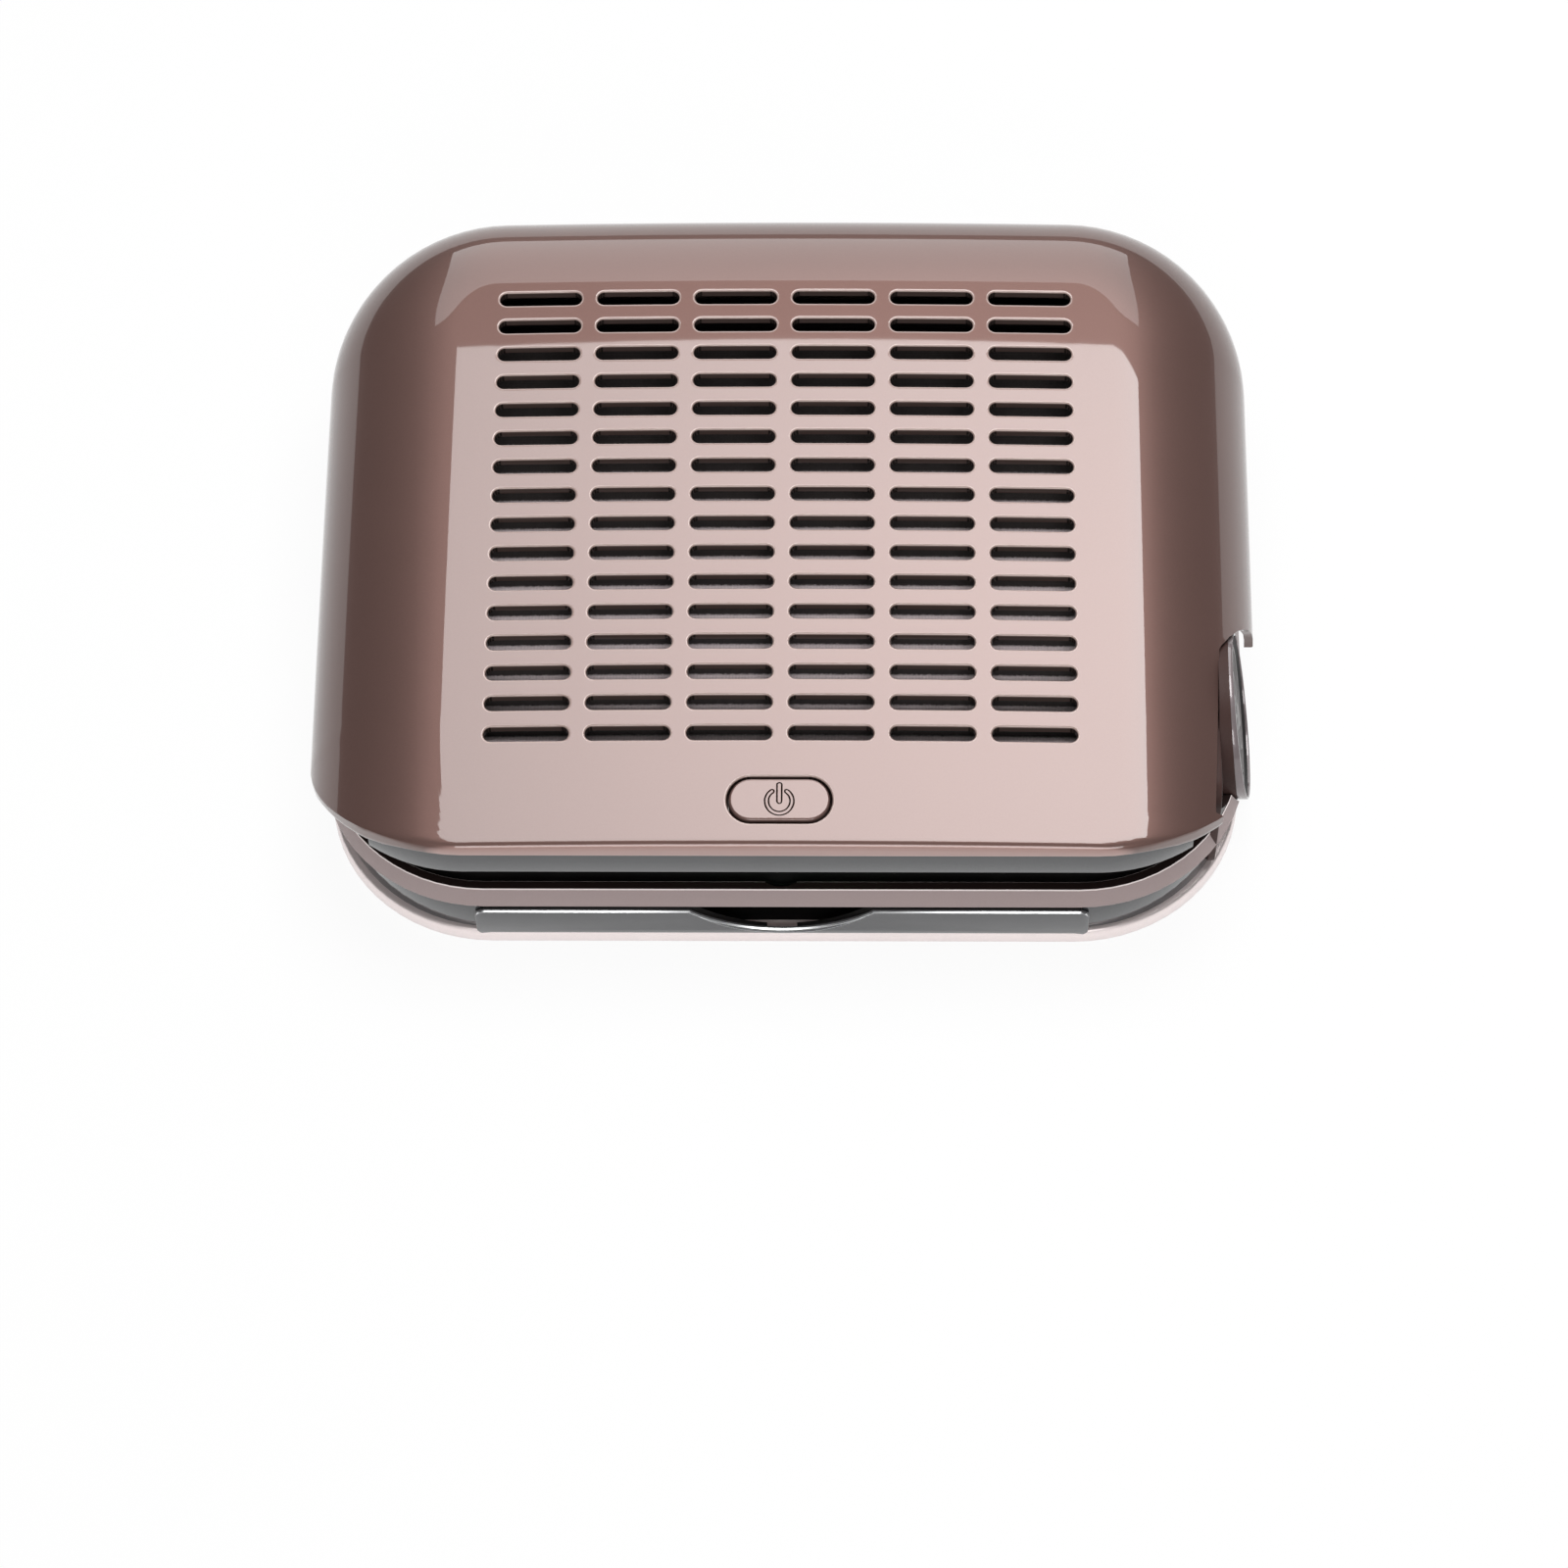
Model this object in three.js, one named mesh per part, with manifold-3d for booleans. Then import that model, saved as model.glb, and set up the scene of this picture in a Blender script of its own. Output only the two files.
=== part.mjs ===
// A desktop nail dust collector: slotted cover on a back hinge, button, blower, filter and drawer.
// Millimetres, +Z up, front towards -Y. The origin is on the surface it stands on, under its middle.
import * as THREE from "three";
import { mergeGeometries, mergeVertices } from "three/addons/utils/BufferGeometryUtils.js";
import Module from "manifold-3d";

const wasm = await Module();
wasm.setup();

// Overall body
const bodyDepth = 212.2;
const coverHalfWidth = 134.3;
const coverFrontHeight = 56.5;
const coverBackHeight = 82.2;
const coverBow = 3;
const coverCrown = 3.2;
const coverWall = 2.5;
const rollRadius = 38;
const lipRadius = 5;
const coverFrontCorner = 47;
const backCorner = 52;

// Levels of the base, from the floor up
const footHeight = 1.9;
const plateBottom = 1;
const plateThickness = 3.5;
const plinthHeight = 15.2;
const ringHeight = 7.2;
const seamGap = 0.3;
const fitGap = 0.3;

// Outlines of the base, each set back from the cover's, with its own corners
const ringSideSetback = 1.7;
const ringFrontSetback = 0.7;
const ringBackSetback = 0.3;
const ringCorner = 48;
const ringWall = 2.6;
const ringDraft = 1;
const ringFlangeWidth = 8.6;
const ringFlangeThickness = 2.3;
const plinthSideSetback = 7.3;
const plinthFrontSetback = 1.4;
const plinthBackSetback = 4;
const plinthCorner = 52;
const plinthWall = 2.5;
const plateSideSetback = 3.5;
const plateBackSetback = 1.5;
const plateCorner = 53;
const plateEdgeRound = 0.9;

// The gap under the cover's front lip, its dark band and the notch in the ledge below it
const mouthSideInset = 17.3;
const mouthHeight = 12.2;
const mouthDepth = 26;
const bandThickness = 1.3;
const bandDrop = 2.4;
const ledgeNotchHalfWidth = 6;
const ledgeNotchReach = 5;
const ledgeNotchBite = 1.4;

// Slots of the cover
const slotColumns = 6;
const slotRows = 16;
const slotLength = 23.6;
const slotWidth = 4.1;
const slotColumnPitch = 28.07;
const slotRowPitch = 9.03;
const slotFirstRowInset = 33.1;

// Power button, its guide, spring, switch and board
const buttonInset = 13.6;
const buttonLength = 27.8;
const buttonWidth = 12;
const buttonGap = 0.7;
const buttonProud = 0.2;
const buttonTravel = 1;
const buttonFlange = 1.2;
const buttonFlangeThickness = 1.2;
const buttonStemRadius = 2;
const buttonStemLength = 1.6;
const guideWall = 1.5;
const guideDepth = 4.2;
const guideRest = 0.6;
const boardLength = 62;
const boardWidth = 14.5;
const boardThickness = 1.6;
const switchSide = 6;
const switchHeight = 3.4;
const switchPlungerRadius = 1.6;
const switchPlungerHeight = 0.5;
const springRadius = 5.2;
const springWireRadius = 0.35;
const springTurns = 4;
const boardPostSpacing = 46;
const boardPostRadius = 3;
const boardScrewRadius = 1;
const boardScrewHeadRadius = 1.9;
const boardScrewHeadHeight = 1;
const boardScrewLength = 8;

// Magnets that hold the cover shut
const magnetSpacing = 124;
const magnetInset = 13.6;
const magnetRadius = 3;
const magnetHeight = 2;
const magnetPostRadius = 4.4;
const magnetLevel = 41.3;

// Hinges
const hingeSpacing = 124;
const hingeSetout = 0.3;
const knuckleRadius = 3.4;
const baseKnuckleWidth = 8;
const coverKnuckleWidth = 12;
const knuckleGap = 0.5;
const hingePinRadius = 1.3;
const hingeBoreGap = 0.35;

// Exhaust on the right side
const exhaustInset = 57.3;
const exhaustLevel = 30.4;
const exhaustPanelSetback = 12;
const exhaustPanelThickness = 2.2;
const exhaustPanelHalfWidth = 30.5;
const exhaustPanelTop = 48.2;
const exhaustPanelCorner = 7;
const exhaustCutHeadroom = 8;
const collarRadius = 23.6;
const collarWall = 2.4;
const collarProud = 8.3;
const collarGap = 0.6;
const grilleRim = 1.7;
const grilleThickness = 2;
const grilleSetback = 1.1;
const grilleHubRadius = 4.6;
const grilleSpokes = 9;
const grilleSpokeWidth = 1.5;
const grilleSpokeSweep = 52;
const spokeRootShare = 0.8;

// Deck, plenum and filter
const deckThickness = 2;
const chuteHalfLength = 52;
const chuteInset = 17;
const chuteWidth = 7;
const plenumHalfWidth = 93;
const plenumFrontInset = 23.6;
const plenumLength = 154;
const plenumWall = 2;
const plenumTop = 47;
const filterFrameHeight = 7;
const filterFrameWall = 2.5;
const filterLipWidth = 3;
const filterLipThickness = 1.2;
const screenThickness = 0.8;
const pleatPitch = 7;
const pleatSheet = 0.9;

// Blower
const blowerX = 10;
const scrollStartRadius = 48;
const scrollEndRadius = 64;
const scrollStartAngle = -45;
const scrollWall = 2;
const scrollFloor = 2;
const scrollHeight = 18;
const scrollCoverThickness = 1.8;
const inletRadius = 35;
const impellerRadius = 43;
const impellerDisc = 1.3;
const impellerLift = 0.9;
const bladeCount = 18;
const bladeInnerRadius = 33;
const bladeThickness = 1.2;
const bladeHeight = 10.6;
const bladeRingWidth = 3;
const bladeRingThickness = 1;
const bladeLean = 9;
const hubRadius = 15.4;
const hubWall = 1.8;
const hubHeight = 10;
const rotorHeight = 6.5;
const statorRadius = 11.5;
const statorHeight = 7;
const motorAirGap = 0.6;
const sleeveRadius = 4.2;
const sleeveWall = 1.2;
const sleeveHeight = 8.6;
const bearingHeight = 2.4;
const bearingWall = 1.4;
const shaftRadius = 1;
const shaftLength = 9.6;

// Drawer
const drawerHalfWidth = 84;
const drawerLength = 100;
const drawerWall = 1.8;
const drawerFloor = 1.6;
const drawerLift = 0.5;
const drawerHeadroom = 0.9;
const drawerFrontHalfWidth = 86.3;
const drawerFrontThickness = 1.6;
const drawerFrontProud = 0.5;
const drawerFrontCorner = 3;
const notchHalfWidth = 25.8;
const notchDepth = 12.2;
const fingerPocketHalfWidth = 29;
const fingerPocketDepth = 17;
const railWidth = 2;
const railHeight = 7;

// Feet, screws, socket and lead
const footRadius = 7;
const footPocketDepth = 1.2;
const footSideInset = 26;
const footFrontInset = 30;
const screwRadius = 1.4;
const screwHeadRadius = 2.7;
const screwHeadHeight = 1.6;
const screwLength = 12;
const screwSideInset = 15;
const screwFrontInset = 42;
const bossRadius = 4;
const socketX = 70;
const socketWidth = 10;
const socketLength = 13;
const socketHeight = 12;
const socketNoseRadius = 4.2;
const socketBoreRadius = 3;
const socketBoreDepth = 9;
const socketPinRadius = 0.9;
const leadRadius = 1.1;
const leadBend = 14;

// How finely round shapes are stepped (three.js takes an arc in twice the steps it is told),
// how near two points are to count as one, and one overrun for every cut
const cornerSteps = 8;
const sideSteps = 4;
const roundSteps = 24;
const fineSteps = 36;
const smallRoundSteps = 12;
const slotEndSteps = 2;
const arcSteps = 4;
const rollSteps = 6;
const innerRollSteps = 4;
const blendPower = 4;
const halfwayShare = 0.5;
const weldDistance = 0.0001;
const overrun = 2;

// Places that follow from the sizes
const barrelOverhang = hingeSetout + knuckleRadius;
const frontY = -(bodyDepth + barrelOverhang - drawerFrontProud) / 2;
const backY = frontY + bodyDepth;
const ringHalfWidth = coverHalfWidth - ringSideSetback;
const plinthHalfWidth = coverHalfWidth - plinthSideSetback;
const plateHalfWidth = coverHalfWidth - plateSideSetback;
const mouthHalfWidth = coverHalfWidth - mouthSideInset;
const exhaustPanelFace = coverHalfWidth - exhaustPanelSetback;
const plateTop = plateBottom + plateThickness;
const plinthBottom = plateTop + fitGap;
const plinthTop = plinthBottom + plinthHeight;
const ringBottom = plinthTop + fitGap;
const ringTop = ringBottom + ringHeight;
const coverBottom = ringTop + seamGap;
const mouthTop = coverBottom + mouthHeight;
const deckBottom = ringBottom + ringFlangeThickness + fitGap;
const deckTop = deckBottom + deckThickness;
const hingeY = backY + hingeSetout;
const hingeZ = ringTop + seamGap / 2;
const exhaustY = frontY + exhaustInset;
const ductWidth = scrollEndRadius + scrollStartRadius * Math.sin(radians(scrollStartAngle));
const blowerY = exhaustY + scrollEndRadius - ductWidth / 2;
const scrollBottom = deckTop + fitGap;
const scrollFloorTop = scrollBottom + scrollFloor;
const scrollTop = scrollBottom + scrollHeight;
const plenumFront = frontY + plenumFrontInset;
const plenumBack = plenumFront + plenumLength;
const filterBottom = plenumTop + fitGap;
const filterTop = filterBottom + filterFrameHeight;
const buttonY = frontY + buttonInset;
const middleRibY = frontY + slotFirstRowInset + ((slotRows + 1) / 2) * slotRowPitch;

// Outlines, seen from above
const coverOutline = {
  half: coverHalfWidth, front: frontY, back: backY,
  frontCorner: coverFrontCorner, backCorner,
};
const ringOutline = {
  half: ringHalfWidth, front: frontY + ringFrontSetback, back: backY - ringBackSetback,
  frontCorner: ringCorner, backCorner,
};
const plinthOutline = {
  half: plinthHalfWidth, front: frontY + plinthFrontSetback, back: backY - plinthBackSetback,
  frontCorner: plinthCorner, backCorner: plinthCorner,
};
const plateOutline = {
  half: plateHalfWidth, front: frontY, back: backY - plateBackSetback,
  frontCorner: plateCorner, backCorner: plateCorner,
};

// Finishes
const rosePaint = { color: 0xa98a84, roughness: 0.28, metalness: 0.55 };
const rimPaint = { color: 0xcbb6b3, roughness: 0.35, metalness: 0.4 };
const smokedGloss = { color: 0x4a4b4e, roughness: 0.15, metalness: 0.1 };
const blackPlastic = { color: 0x1c1b1c, roughness: 0.6, metalness: 0 };
const darkPanel = { color: 0x3a2e2b, roughness: 0.4, metalness: 0.2 };
const filterWhite = { color: 0xe6dedb, roughness: 0.95, metalness: 0 };
const steel = { color: 0xb9bbbe, roughness: 0.3, metalness: 0.9 };
const boardGreen = { color: 0x2e5a3c, roughness: 0.5, metalness: 0 };
const rubber = { color: 0x2a2a2b, roughness: 0.9, metalness: 0 };
const copper = { color: 0xa8643a, roughness: 0.45, metalness: 0.7 };

const collector = new THREE.Group();

function radians(degrees) {
  return (degrees * Math.PI) / 180;
}

// Solids and booleans

// A closed geometry as a solid that can be joined and cut.
function solid(geometry) {
  const bare = geometry.index ? geometry.toNonIndexed() : geometry.clone();
  bare.deleteAttribute("normal");
  bare.deleteAttribute("uv");
  const merged = mergeVertices(bare, weldDistance);
  const index = merged.index.array;
  const kept = [];
  for (let i = 0; i < index.length; i += 3) {
    const [a, b, c] = [index[i], index[i + 1], index[i + 2]];
    if (a !== b && b !== c && c !== a) kept.push(a, b, c);
  }
  return new wasm.Manifold(
    new wasm.Mesh({
      numProp: 3,
      vertProperties: merged.attributes.position.array,
      triVerts: new Uint32Array(kept),
    }),
  );
}

function geometryOf(body) {
  const mesh = body.getMesh();
  const geometry = new THREE.BufferGeometry();
  geometry.setAttribute("position", new THREE.BufferAttribute(mesh.vertProperties, mesh.numProp));
  geometry.setIndex(new THREE.BufferAttribute(mesh.triVerts, 1));
  geometry.computeVertexNormals();
  return geometry;
}

function join(...bodies) {
  return bodies.reduce((all, body) => all.add(body));
}

function cut(body, ...tools) {
  return tools.reduce((rest, tool) => rest.subtract(tool), body);
}

function addMesh(name, body, finish) {
  const mesh = new THREE.Mesh(geometryOf(body), new THREE.MeshStandardMaterial(finish));
  mesh.name = name;
  collector.add(mesh);
}

// Simple shapes

function box(low, high) {
  const size = high.map((value, i) => value - low[i]);
  const middle = high.map((value, i) => (value + low[i]) / 2);
  return solid(new THREE.BoxGeometry(...size).translate(...middle));
}

// An upright prism over a shape drawn in plan.
function prism(shape, low, high, curveSegments = arcSteps) {
  const geometry = new THREE.ExtrudeGeometry(shape, {
    depth: high - low, bevelEnabled: false, curveSegments,
  });
  return solid(geometry.translate(0, 0, low));
}

function rod(radius, low, high, x, y, steps = roundSteps) {
  const geometry = new THREE.CylinderGeometry(radius, radius, high - low, steps);
  return solid(geometry.rotateX(Math.PI / 2).translate(x, y, (low + high) / 2));
}

// A round bar along X, from one x to the other.
function crossRod(radius, low, high, y, z, steps = roundSteps) {
  const geometry = new THREE.CylinderGeometry(radius, radius, high - low, steps);
  return solid(geometry.rotateZ(Math.PI / 2).translate((low + high) / 2, y, z));
}

function tube(outer, inner, low, high, x, y, steps = roundSteps) {
  return cut(
    rod(outer, low, high, x, y, steps),
    rod(inner, low - overrun, high + overrun, x, y, steps),
  );
}

function outlineShape({ half, front, back, frontCorner, backCorner }, inset = 0) {
  const x = half - inset;
  const low = front + inset;
  const high = back - inset;
  const near = frontCorner - inset;
  const far = backCorner - inset;
  const shape = new THREE.Shape();
  shape.moveTo(-x + near, low);
  shape.lineTo(x - near, low);
  shape.absarc(x - near, low + near, near, -Math.PI / 2, 0);
  shape.lineTo(x, high - far);
  shape.absarc(x - far, high - far, far, 0, Math.PI / 2);
  shape.lineTo(-x + far, high);
  shape.absarc(-x + far, high - far, far, Math.PI / 2, Math.PI);
  shape.lineTo(-x, low + near);
  shape.absarc(-x + near, low + near, near, Math.PI, 1.5 * Math.PI);
  return shape;
}

function rectangleShape(half, front, back, corner) {
  return outlineShape({ half, front, back, frontCorner: corner, backCorner: corner });
}

// A slot outline with round ends, along X about the origin.
function stadiumShape(length, width) {
  const reach = (length - width) / 2;
  const shape = new THREE.Shape();
  shape.absarc(reach, 0, width / 2, -Math.PI / 2, Math.PI / 2);
  shape.absarc(-reach, 0, width / 2, Math.PI / 2, 1.5 * Math.PI);
  return shape;
}

function stadium(length, width, low, high, x, y, steps = arcSteps) {
  const geometry = new THREE.ExtrudeGeometry(stadiumShape(length, width), {
    depth: high - low, bevelEnabled: false, curveSegments: steps,
  });
  return solid(geometry.translate(x, y, low));
}

// Rounded forms made of rings

// A closed form through rings of points: a turned form gives the mesh, and its points are moved.
// An end closes at the middle of its ring, or by itself where the first ring is folded to a line.
function loft(rings, folded = false) {
  const steps = rings[0].length;
  const levels = rings.map((ring) => (step) => ring[step]);
  const first = middleOf(rings[0]);
  const last = middleOf(rings[rings.length - 1]);
  if (!folded) levels.unshift(() => first);
  levels.push(() => last);
  const profile = levels.map((_, i) => new THREE.Vector2(1, i));
  const geometry = new THREE.LatheGeometry(profile, steps);
  const position = geometry.getAttribute("position");
  for (let i = 0; i < position.count; i++) {
    const level = i % profile.length;
    const step = Math.floor(i / profile.length) % steps;
    const point = levels[level](step);
    position.setXYZ(i, point.x, point.y, point.z);
  }
  return solid(geometry);
}

function middleOf(ring) {
  const middle = new THREE.Vector3();
  ring.forEach((point) => middle.add(point));
  return middle.divideScalar(ring.length);
}

// Points round an outline that is drawn in by an inset, clockwise from the front left corner's end.
function outlinePoints({ half, front, back, frontCorner, backCorner }, inset) {
  const corners = [
    [-1, -1, front, frontCorner, 1.5 * Math.PI],
    [-1, 1, back, backCorner, Math.PI],
    [1, 1, back, backCorner, Math.PI / 2],
    [1, -1, front, frontCorner, 0],
  ];
  const points = [];
  corners.forEach(([sideX, sideY, edge, corner, startAngle], i) => {
    const radius = Math.max(corner - inset, 0);
    const reach = Math.max(inset, corner);
    const x = sideX * (half - reach);
    const y = edge - sideY * reach;
    for (let k = 0; k <= cornerSteps; k++) {
      const angle = startAngle - (k / cornerSteps) * (Math.PI / 2);
      points.push([x + radius * Math.cos(angle), y + radius * Math.sin(angle)]);
    }
    const next = corners[(i + 1) % corners.length];
    const nextReach = Math.max(inset, next[3]);
    const from = points[points.length - 1];
    const nextRadius = Math.max(next[3] - inset, 0);
    const to = [
      next[0] * (half - nextReach) + nextRadius * Math.cos(next[4]),
      next[2] - next[1] * nextReach + nextRadius * Math.sin(next[4]),
    ];
    if (i % 2) {
      for (let k = 2; k >= -2; k--) points.push([sideX * k * slotColumnPitch, to[1]]);
    } else {
      for (let k = 1; k < sideSteps; k++) {
        points.push([to[0], from[1] + ((to[1] - from[1]) * k) / sideSteps]);
      }
    }
  });
  return points;
}

function levelRing(outline, inset, level) {
  return outlinePoints(outline, inset).map(([x, y]) => new THREE.Vector3(x, y, level));
}

// How far a rounded edge has dropped at a distance inside its outline.
function roundOff(distance, radius) {
  if (distance >= radius) return 0;
  const run = radius - Math.max(distance, 0);
  return radius - Math.sqrt(Math.max(radius * radius - run * run, 0));
}

// Distance inside the outline that the cover rolls over to: its sides and back, but not its front.
function rollDistance(x, y, wall) {
  const corner = backCorner - wall;
  const alongX = Math.abs(x) - (coverHalfWidth - wall - corner);
  const alongY = y - (backY - wall - corner);
  const round = Math.hypot(Math.max(alongX, 0), Math.max(alongY, 0));
  return corner - round - Math.min(Math.max(alongX, alongY), 0);
}

// Height of the cover's skin before its edges are rounded: it rises to the back, with a slight crown.
function skinHeight(x, y) {
  const share = (y - frontY) / bodyDepth;
  const rise = coverFrontHeight + (coverBackHeight - coverFrontHeight) * share;
  return rise + 4 * coverBow * share * (1 - share) - coverCrown * (x / coverHalfWidth) ** 2;
}

function coverHeight(x, y, inset, wall) {
  const roll = roundOff(rollDistance(x, y, wall), rollRadius - wall);
  const lip = roundOff(inset, lipRadius - wall);
  const drop = (roll ** blendPower + lip ** blendPower) ** (1 / blendPower);
  return skinHeight(x, y) - wall - drop;
}

// The cover's outside, or with a wall its inside, filled down to a level. Its top is stepped along
// the ribs between the slots, and folds on the rib in the middle.
function dome(wall, steps, floor) {
  const outline = {
    half: coverHalfWidth - wall, front: frontY + wall, back: backY - wall,
    frontCorner: coverFrontCorner - wall, backCorner: backCorner - wall,
  };
  const radius = rollRadius - wall;
  const rings = [levelRing(outline, 0, floor)];
  for (let k = 0; k <= steps; k++) {
    const inset = radius * (1 - Math.cos(((k / steps) * Math.PI) / 2));
    rings.push(outlinePoints(outline, inset).map(([x, y]) =>
      new THREE.Vector3(x, y, coverHeight(x, y, inset, wall))));
  }
  const edge = rings[rings.length - 1];
  for (const share of [halfwayShare, 0]) {
    rings.push(edge.map((point) => {
      const ribX = slotColumnPitch * Math.round(point.x / slotColumnPitch);
      const x = ribX + (point.x - ribX) * share;
      const y = middleRibY + (point.y - middleRibY) * share;
      return new THREE.Vector3(x, y, skinHeight(x, y) - wall);
    }));
  }
  return loft(rings.reverse(), true);
}

// Cover

function slotCuts() {
  const cuts = [];
  const reach = (slotColumns - 1) / 2;
  for (let row = 0; row < slotRows; row++) {
    for (let column = 0; column < slotColumns; column++) {
      const x = (column - reach) * slotColumnPitch;
      const y = frontY + slotFirstRowInset + row * slotRowPitch;
      const shape = stadiumShape(slotLength, slotWidth);
      const height = coverBackHeight - coverBottom;
      const geometry = new THREE.ExtrudeGeometry(shape, {
        depth: height, bevelEnabled: false, curveSegments: slotEndSteps,
      });
      cuts.push(geometry.translate(x, y, mouthTop));
    }
  }
  return solid(mergeGeometries(cuts));
}

function besideMiddle(spacing) {
  return [-spacing / 2, spacing / 2];
}

// A post that hangs from the cover's inside down to a level.
function coverPost(radius, x, y, bottom) {
  const top = skinHeight(x, y) - coverWall / 2;
  return rod(radius, bottom, top, x, y, smallRoundSteps);
}

const guideBottom = skinHeight(0, buttonY) - coverWall - guideDepth;
const flangeTop = guideBottom - guideRest;
const flangeBottom = flangeTop - buttonFlangeThickness;
const stemBottom = flangeBottom - buttonStemLength;
const plungerTop = stemBottom - buttonTravel - fitGap;
const switchTop = plungerTop - switchPlungerHeight;
const boardTop = switchTop - switchHeight - fitGap;
const boardBottom = boardTop - boardThickness;
const coverMagnetBottom = magnetLevel + fitGap;
const magnetY = frontY + magnetInset;

function mouthCut() {
  const outside = frontY - overrun;
  return box(
    [-mouthHalfWidth, outside, coverBottom - overrun],
    [mouthHalfWidth, outside + mouthDepth, mouthTop],
  );
}

// The strip of the cover's front that the band fills, widened all round by a gap.
function bandSpace(depth, gap) {
  const strip = cut(
    prism(outlineShape(coverOutline), mouthTop - gap, coverFrontHeight),
    prism(outlineShape(coverOutline, depth), mouthTop - overrun, coverFrontHeight + overrun),
  );
  const reach = mouthHalfWidth - 2 * fitGap + gap;
  const span = box(
    [-reach, frontY - overrun, mouthTop - overrun],
    [reach, frontY + mouthDepth, coverFrontHeight],
  );
  const lowered = dome(0, rollSteps, 0).translate(0, 0, gap - bandDrop);
  return strip.intersect(span).intersect(lowered);
}

function exhaustCut() {
  const inner = exhaustPanelFace - exhaustPanelThickness - fitGap;
  const wide = exhaustPanelHalfWidth + collarGap;
  const shape = rectangleShape(wide, coverBottom - ringHeight, exhaustPanelTop + exhaustCutHeadroom,
    exhaustPanelCorner);
  const geometry = new THREE.ExtrudeGeometry(shape, {
    depth: coverHalfWidth - inner + overrun, bevelEnabled: false, curveSegments: arcSteps,
  });
  geometry.rotateX(Math.PI / 2).rotateZ(Math.PI / 2);
  return solid(geometry.translate(inner, exhaustY, 0));
}

// Where the knuckles of one hinge lie along X: two on the base with one on the cover between them.
function knuckleSpans(x) {
  const inner = coverKnuckleWidth / 2;
  const start = inner + knuckleGap;
  return {
    cover: [[x - inner, x + inner]],
    base: [[x - start - baseKnuckleWidth, x - start], [x + start, x + start + baseKnuckleWidth]],
  };
}

function knuckles(owner, radius, margin) {
  const spans = besideMiddle(hingeSpacing).flatMap((x) => knuckleSpans(x)[owner]);
  return spans.map(([low, high]) => crossRod(radius, low - margin, high + margin, hingeY, hingeZ));
}

function hingeBores() {
  const reach = coverKnuckleWidth / 2 + knuckleGap + baseKnuckleWidth + overrun;
  const radius = hingePinRadius + hingeBoreGap;
  return besideMiddle(hingeSpacing).map((x) =>
    crossRod(radius, x - reach, x + reach, hingeY, hingeZ, smallRoundSteps),
  );
}

function addCover() {
  const shell = cut(dome(0, rollSteps, 0), dome(coverWall, innerRollSteps, -overrun));
  const guideLength = buttonLength + 2 * (buttonGap + guideWall);
  const guideWidth = buttonWidth + 2 * (buttonGap + guideWall);
  const guide = stadium(guideLength, guideWidth, guideBottom,
    skinHeight(0, buttonY) - coverWall / 2, 0, buttonY);
  const boardPosts = besideMiddle(boardPostSpacing).map((x) =>
    coverPost(boardPostRadius, x, buttonY, boardTop + fitGap));
  const magnetPosts = besideMiddle(magnetSpacing).map((x) =>
    coverPost(magnetPostRadius, x, magnetY, coverMagnetBottom));
  const trimLow = box(
    [-2 * coverHalfWidth, 2 * frontY, -2 * overrun],
    [2 * coverHalfWidth, 2 * backY, coverBottom],
  );
  const blank = cut(join(shell, guide, ...boardPosts, ...magnetPosts), trimLow);
  const holeLength = buttonLength + 2 * buttonGap;
  const holeWidth = buttonWidth + 2 * buttonGap;
  const hole = stadium(holeLength, holeWidth, mouthTop, coverBackHeight, 0, buttonY);
  const screwHoles = besideMiddle(boardPostSpacing).map((x) =>
    rod(boardScrewRadius + fitGap, boardTop, boardBottom + boardScrewLength + fitGap, x, buttonY,
      smallRoundSteps));
  const magnetPockets = besideMiddle(magnetSpacing).map((x) =>
    rod(magnetRadius + fitGap, mouthTop, coverMagnetBottom + magnetHeight + 2 * fitGap, x, magnetY));
  const opened = cut(blank, mouthCut(), exhaustCut(), slotCuts(), hole, ...screwHoles, ...magnetPockets,
    bandSpace(bandThickness + fitGap, fitGap), ...knuckles("base", knuckleRadius + knuckleGap, knuckleGap));
  const hinged = join(opened, ...knuckles("cover", knuckleRadius, 0));
  addMesh("top_cover", cut(hinged, ...hingeBores()), rosePaint);
  addMesh("front_band", bandSpace(bandThickness, 0), smokedGloss);
}

// Button and what is behind it

function addButton() {
  const top = skinHeight(0, buttonY - buttonWidth) + coverWall * 2;
  const cap = stadium(buttonLength, buttonWidth, flangeTop - fitGap, top, 0, buttonY);
  const skin = dome(0, rollSteps, 0).translate(0, 0, buttonProud);
  const flange = stadium(buttonLength + 2 * buttonFlange, buttonWidth + 2 * buttonFlange,
    flangeBottom, flangeTop, 0, buttonY);
  const stem = rod(buttonStemRadius, stemBottom, flangeTop, 0, buttonY,
    smallRoundSteps);
  addMesh("power_button", join(cap.intersect(skin), flange, stem), rosePaint);
  addSpring(boardTop + fitGap, flangeBottom - fitGap);
}

// The return spring round the switch: one unbroken wire.
function addSpring(low, high) {
  const start = low + springWireRadius;
  const rise = high - low - 2 * springWireRadius;
  const stepsPerTurn = 8;
  const points = [];
  for (let i = 0; i <= springTurns * stepsPerTurn; i++) {
    const angle = (2 * Math.PI * i) / stepsPerTurn;
    points.push(new THREE.Vector3(
      springRadius * Math.cos(angle),
      buttonY + springRadius * Math.sin(angle),
      start + (rise * i) / (springTurns * stepsPerTurn),
    ));
  }
  const wire = new THREE.Shape().absarc(0, 0, springWireRadius, 0, 2 * Math.PI);
  const geometry = new THREE.ExtrudeGeometry(wire, {
    steps: springTurns * stepsPerTurn, curveSegments: 3, bevelEnabled: false,
    extrudePath: new THREE.CatmullRomCurve3(points),
  });
  addMesh("button_spring", solid(geometry), steel);
}

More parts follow.
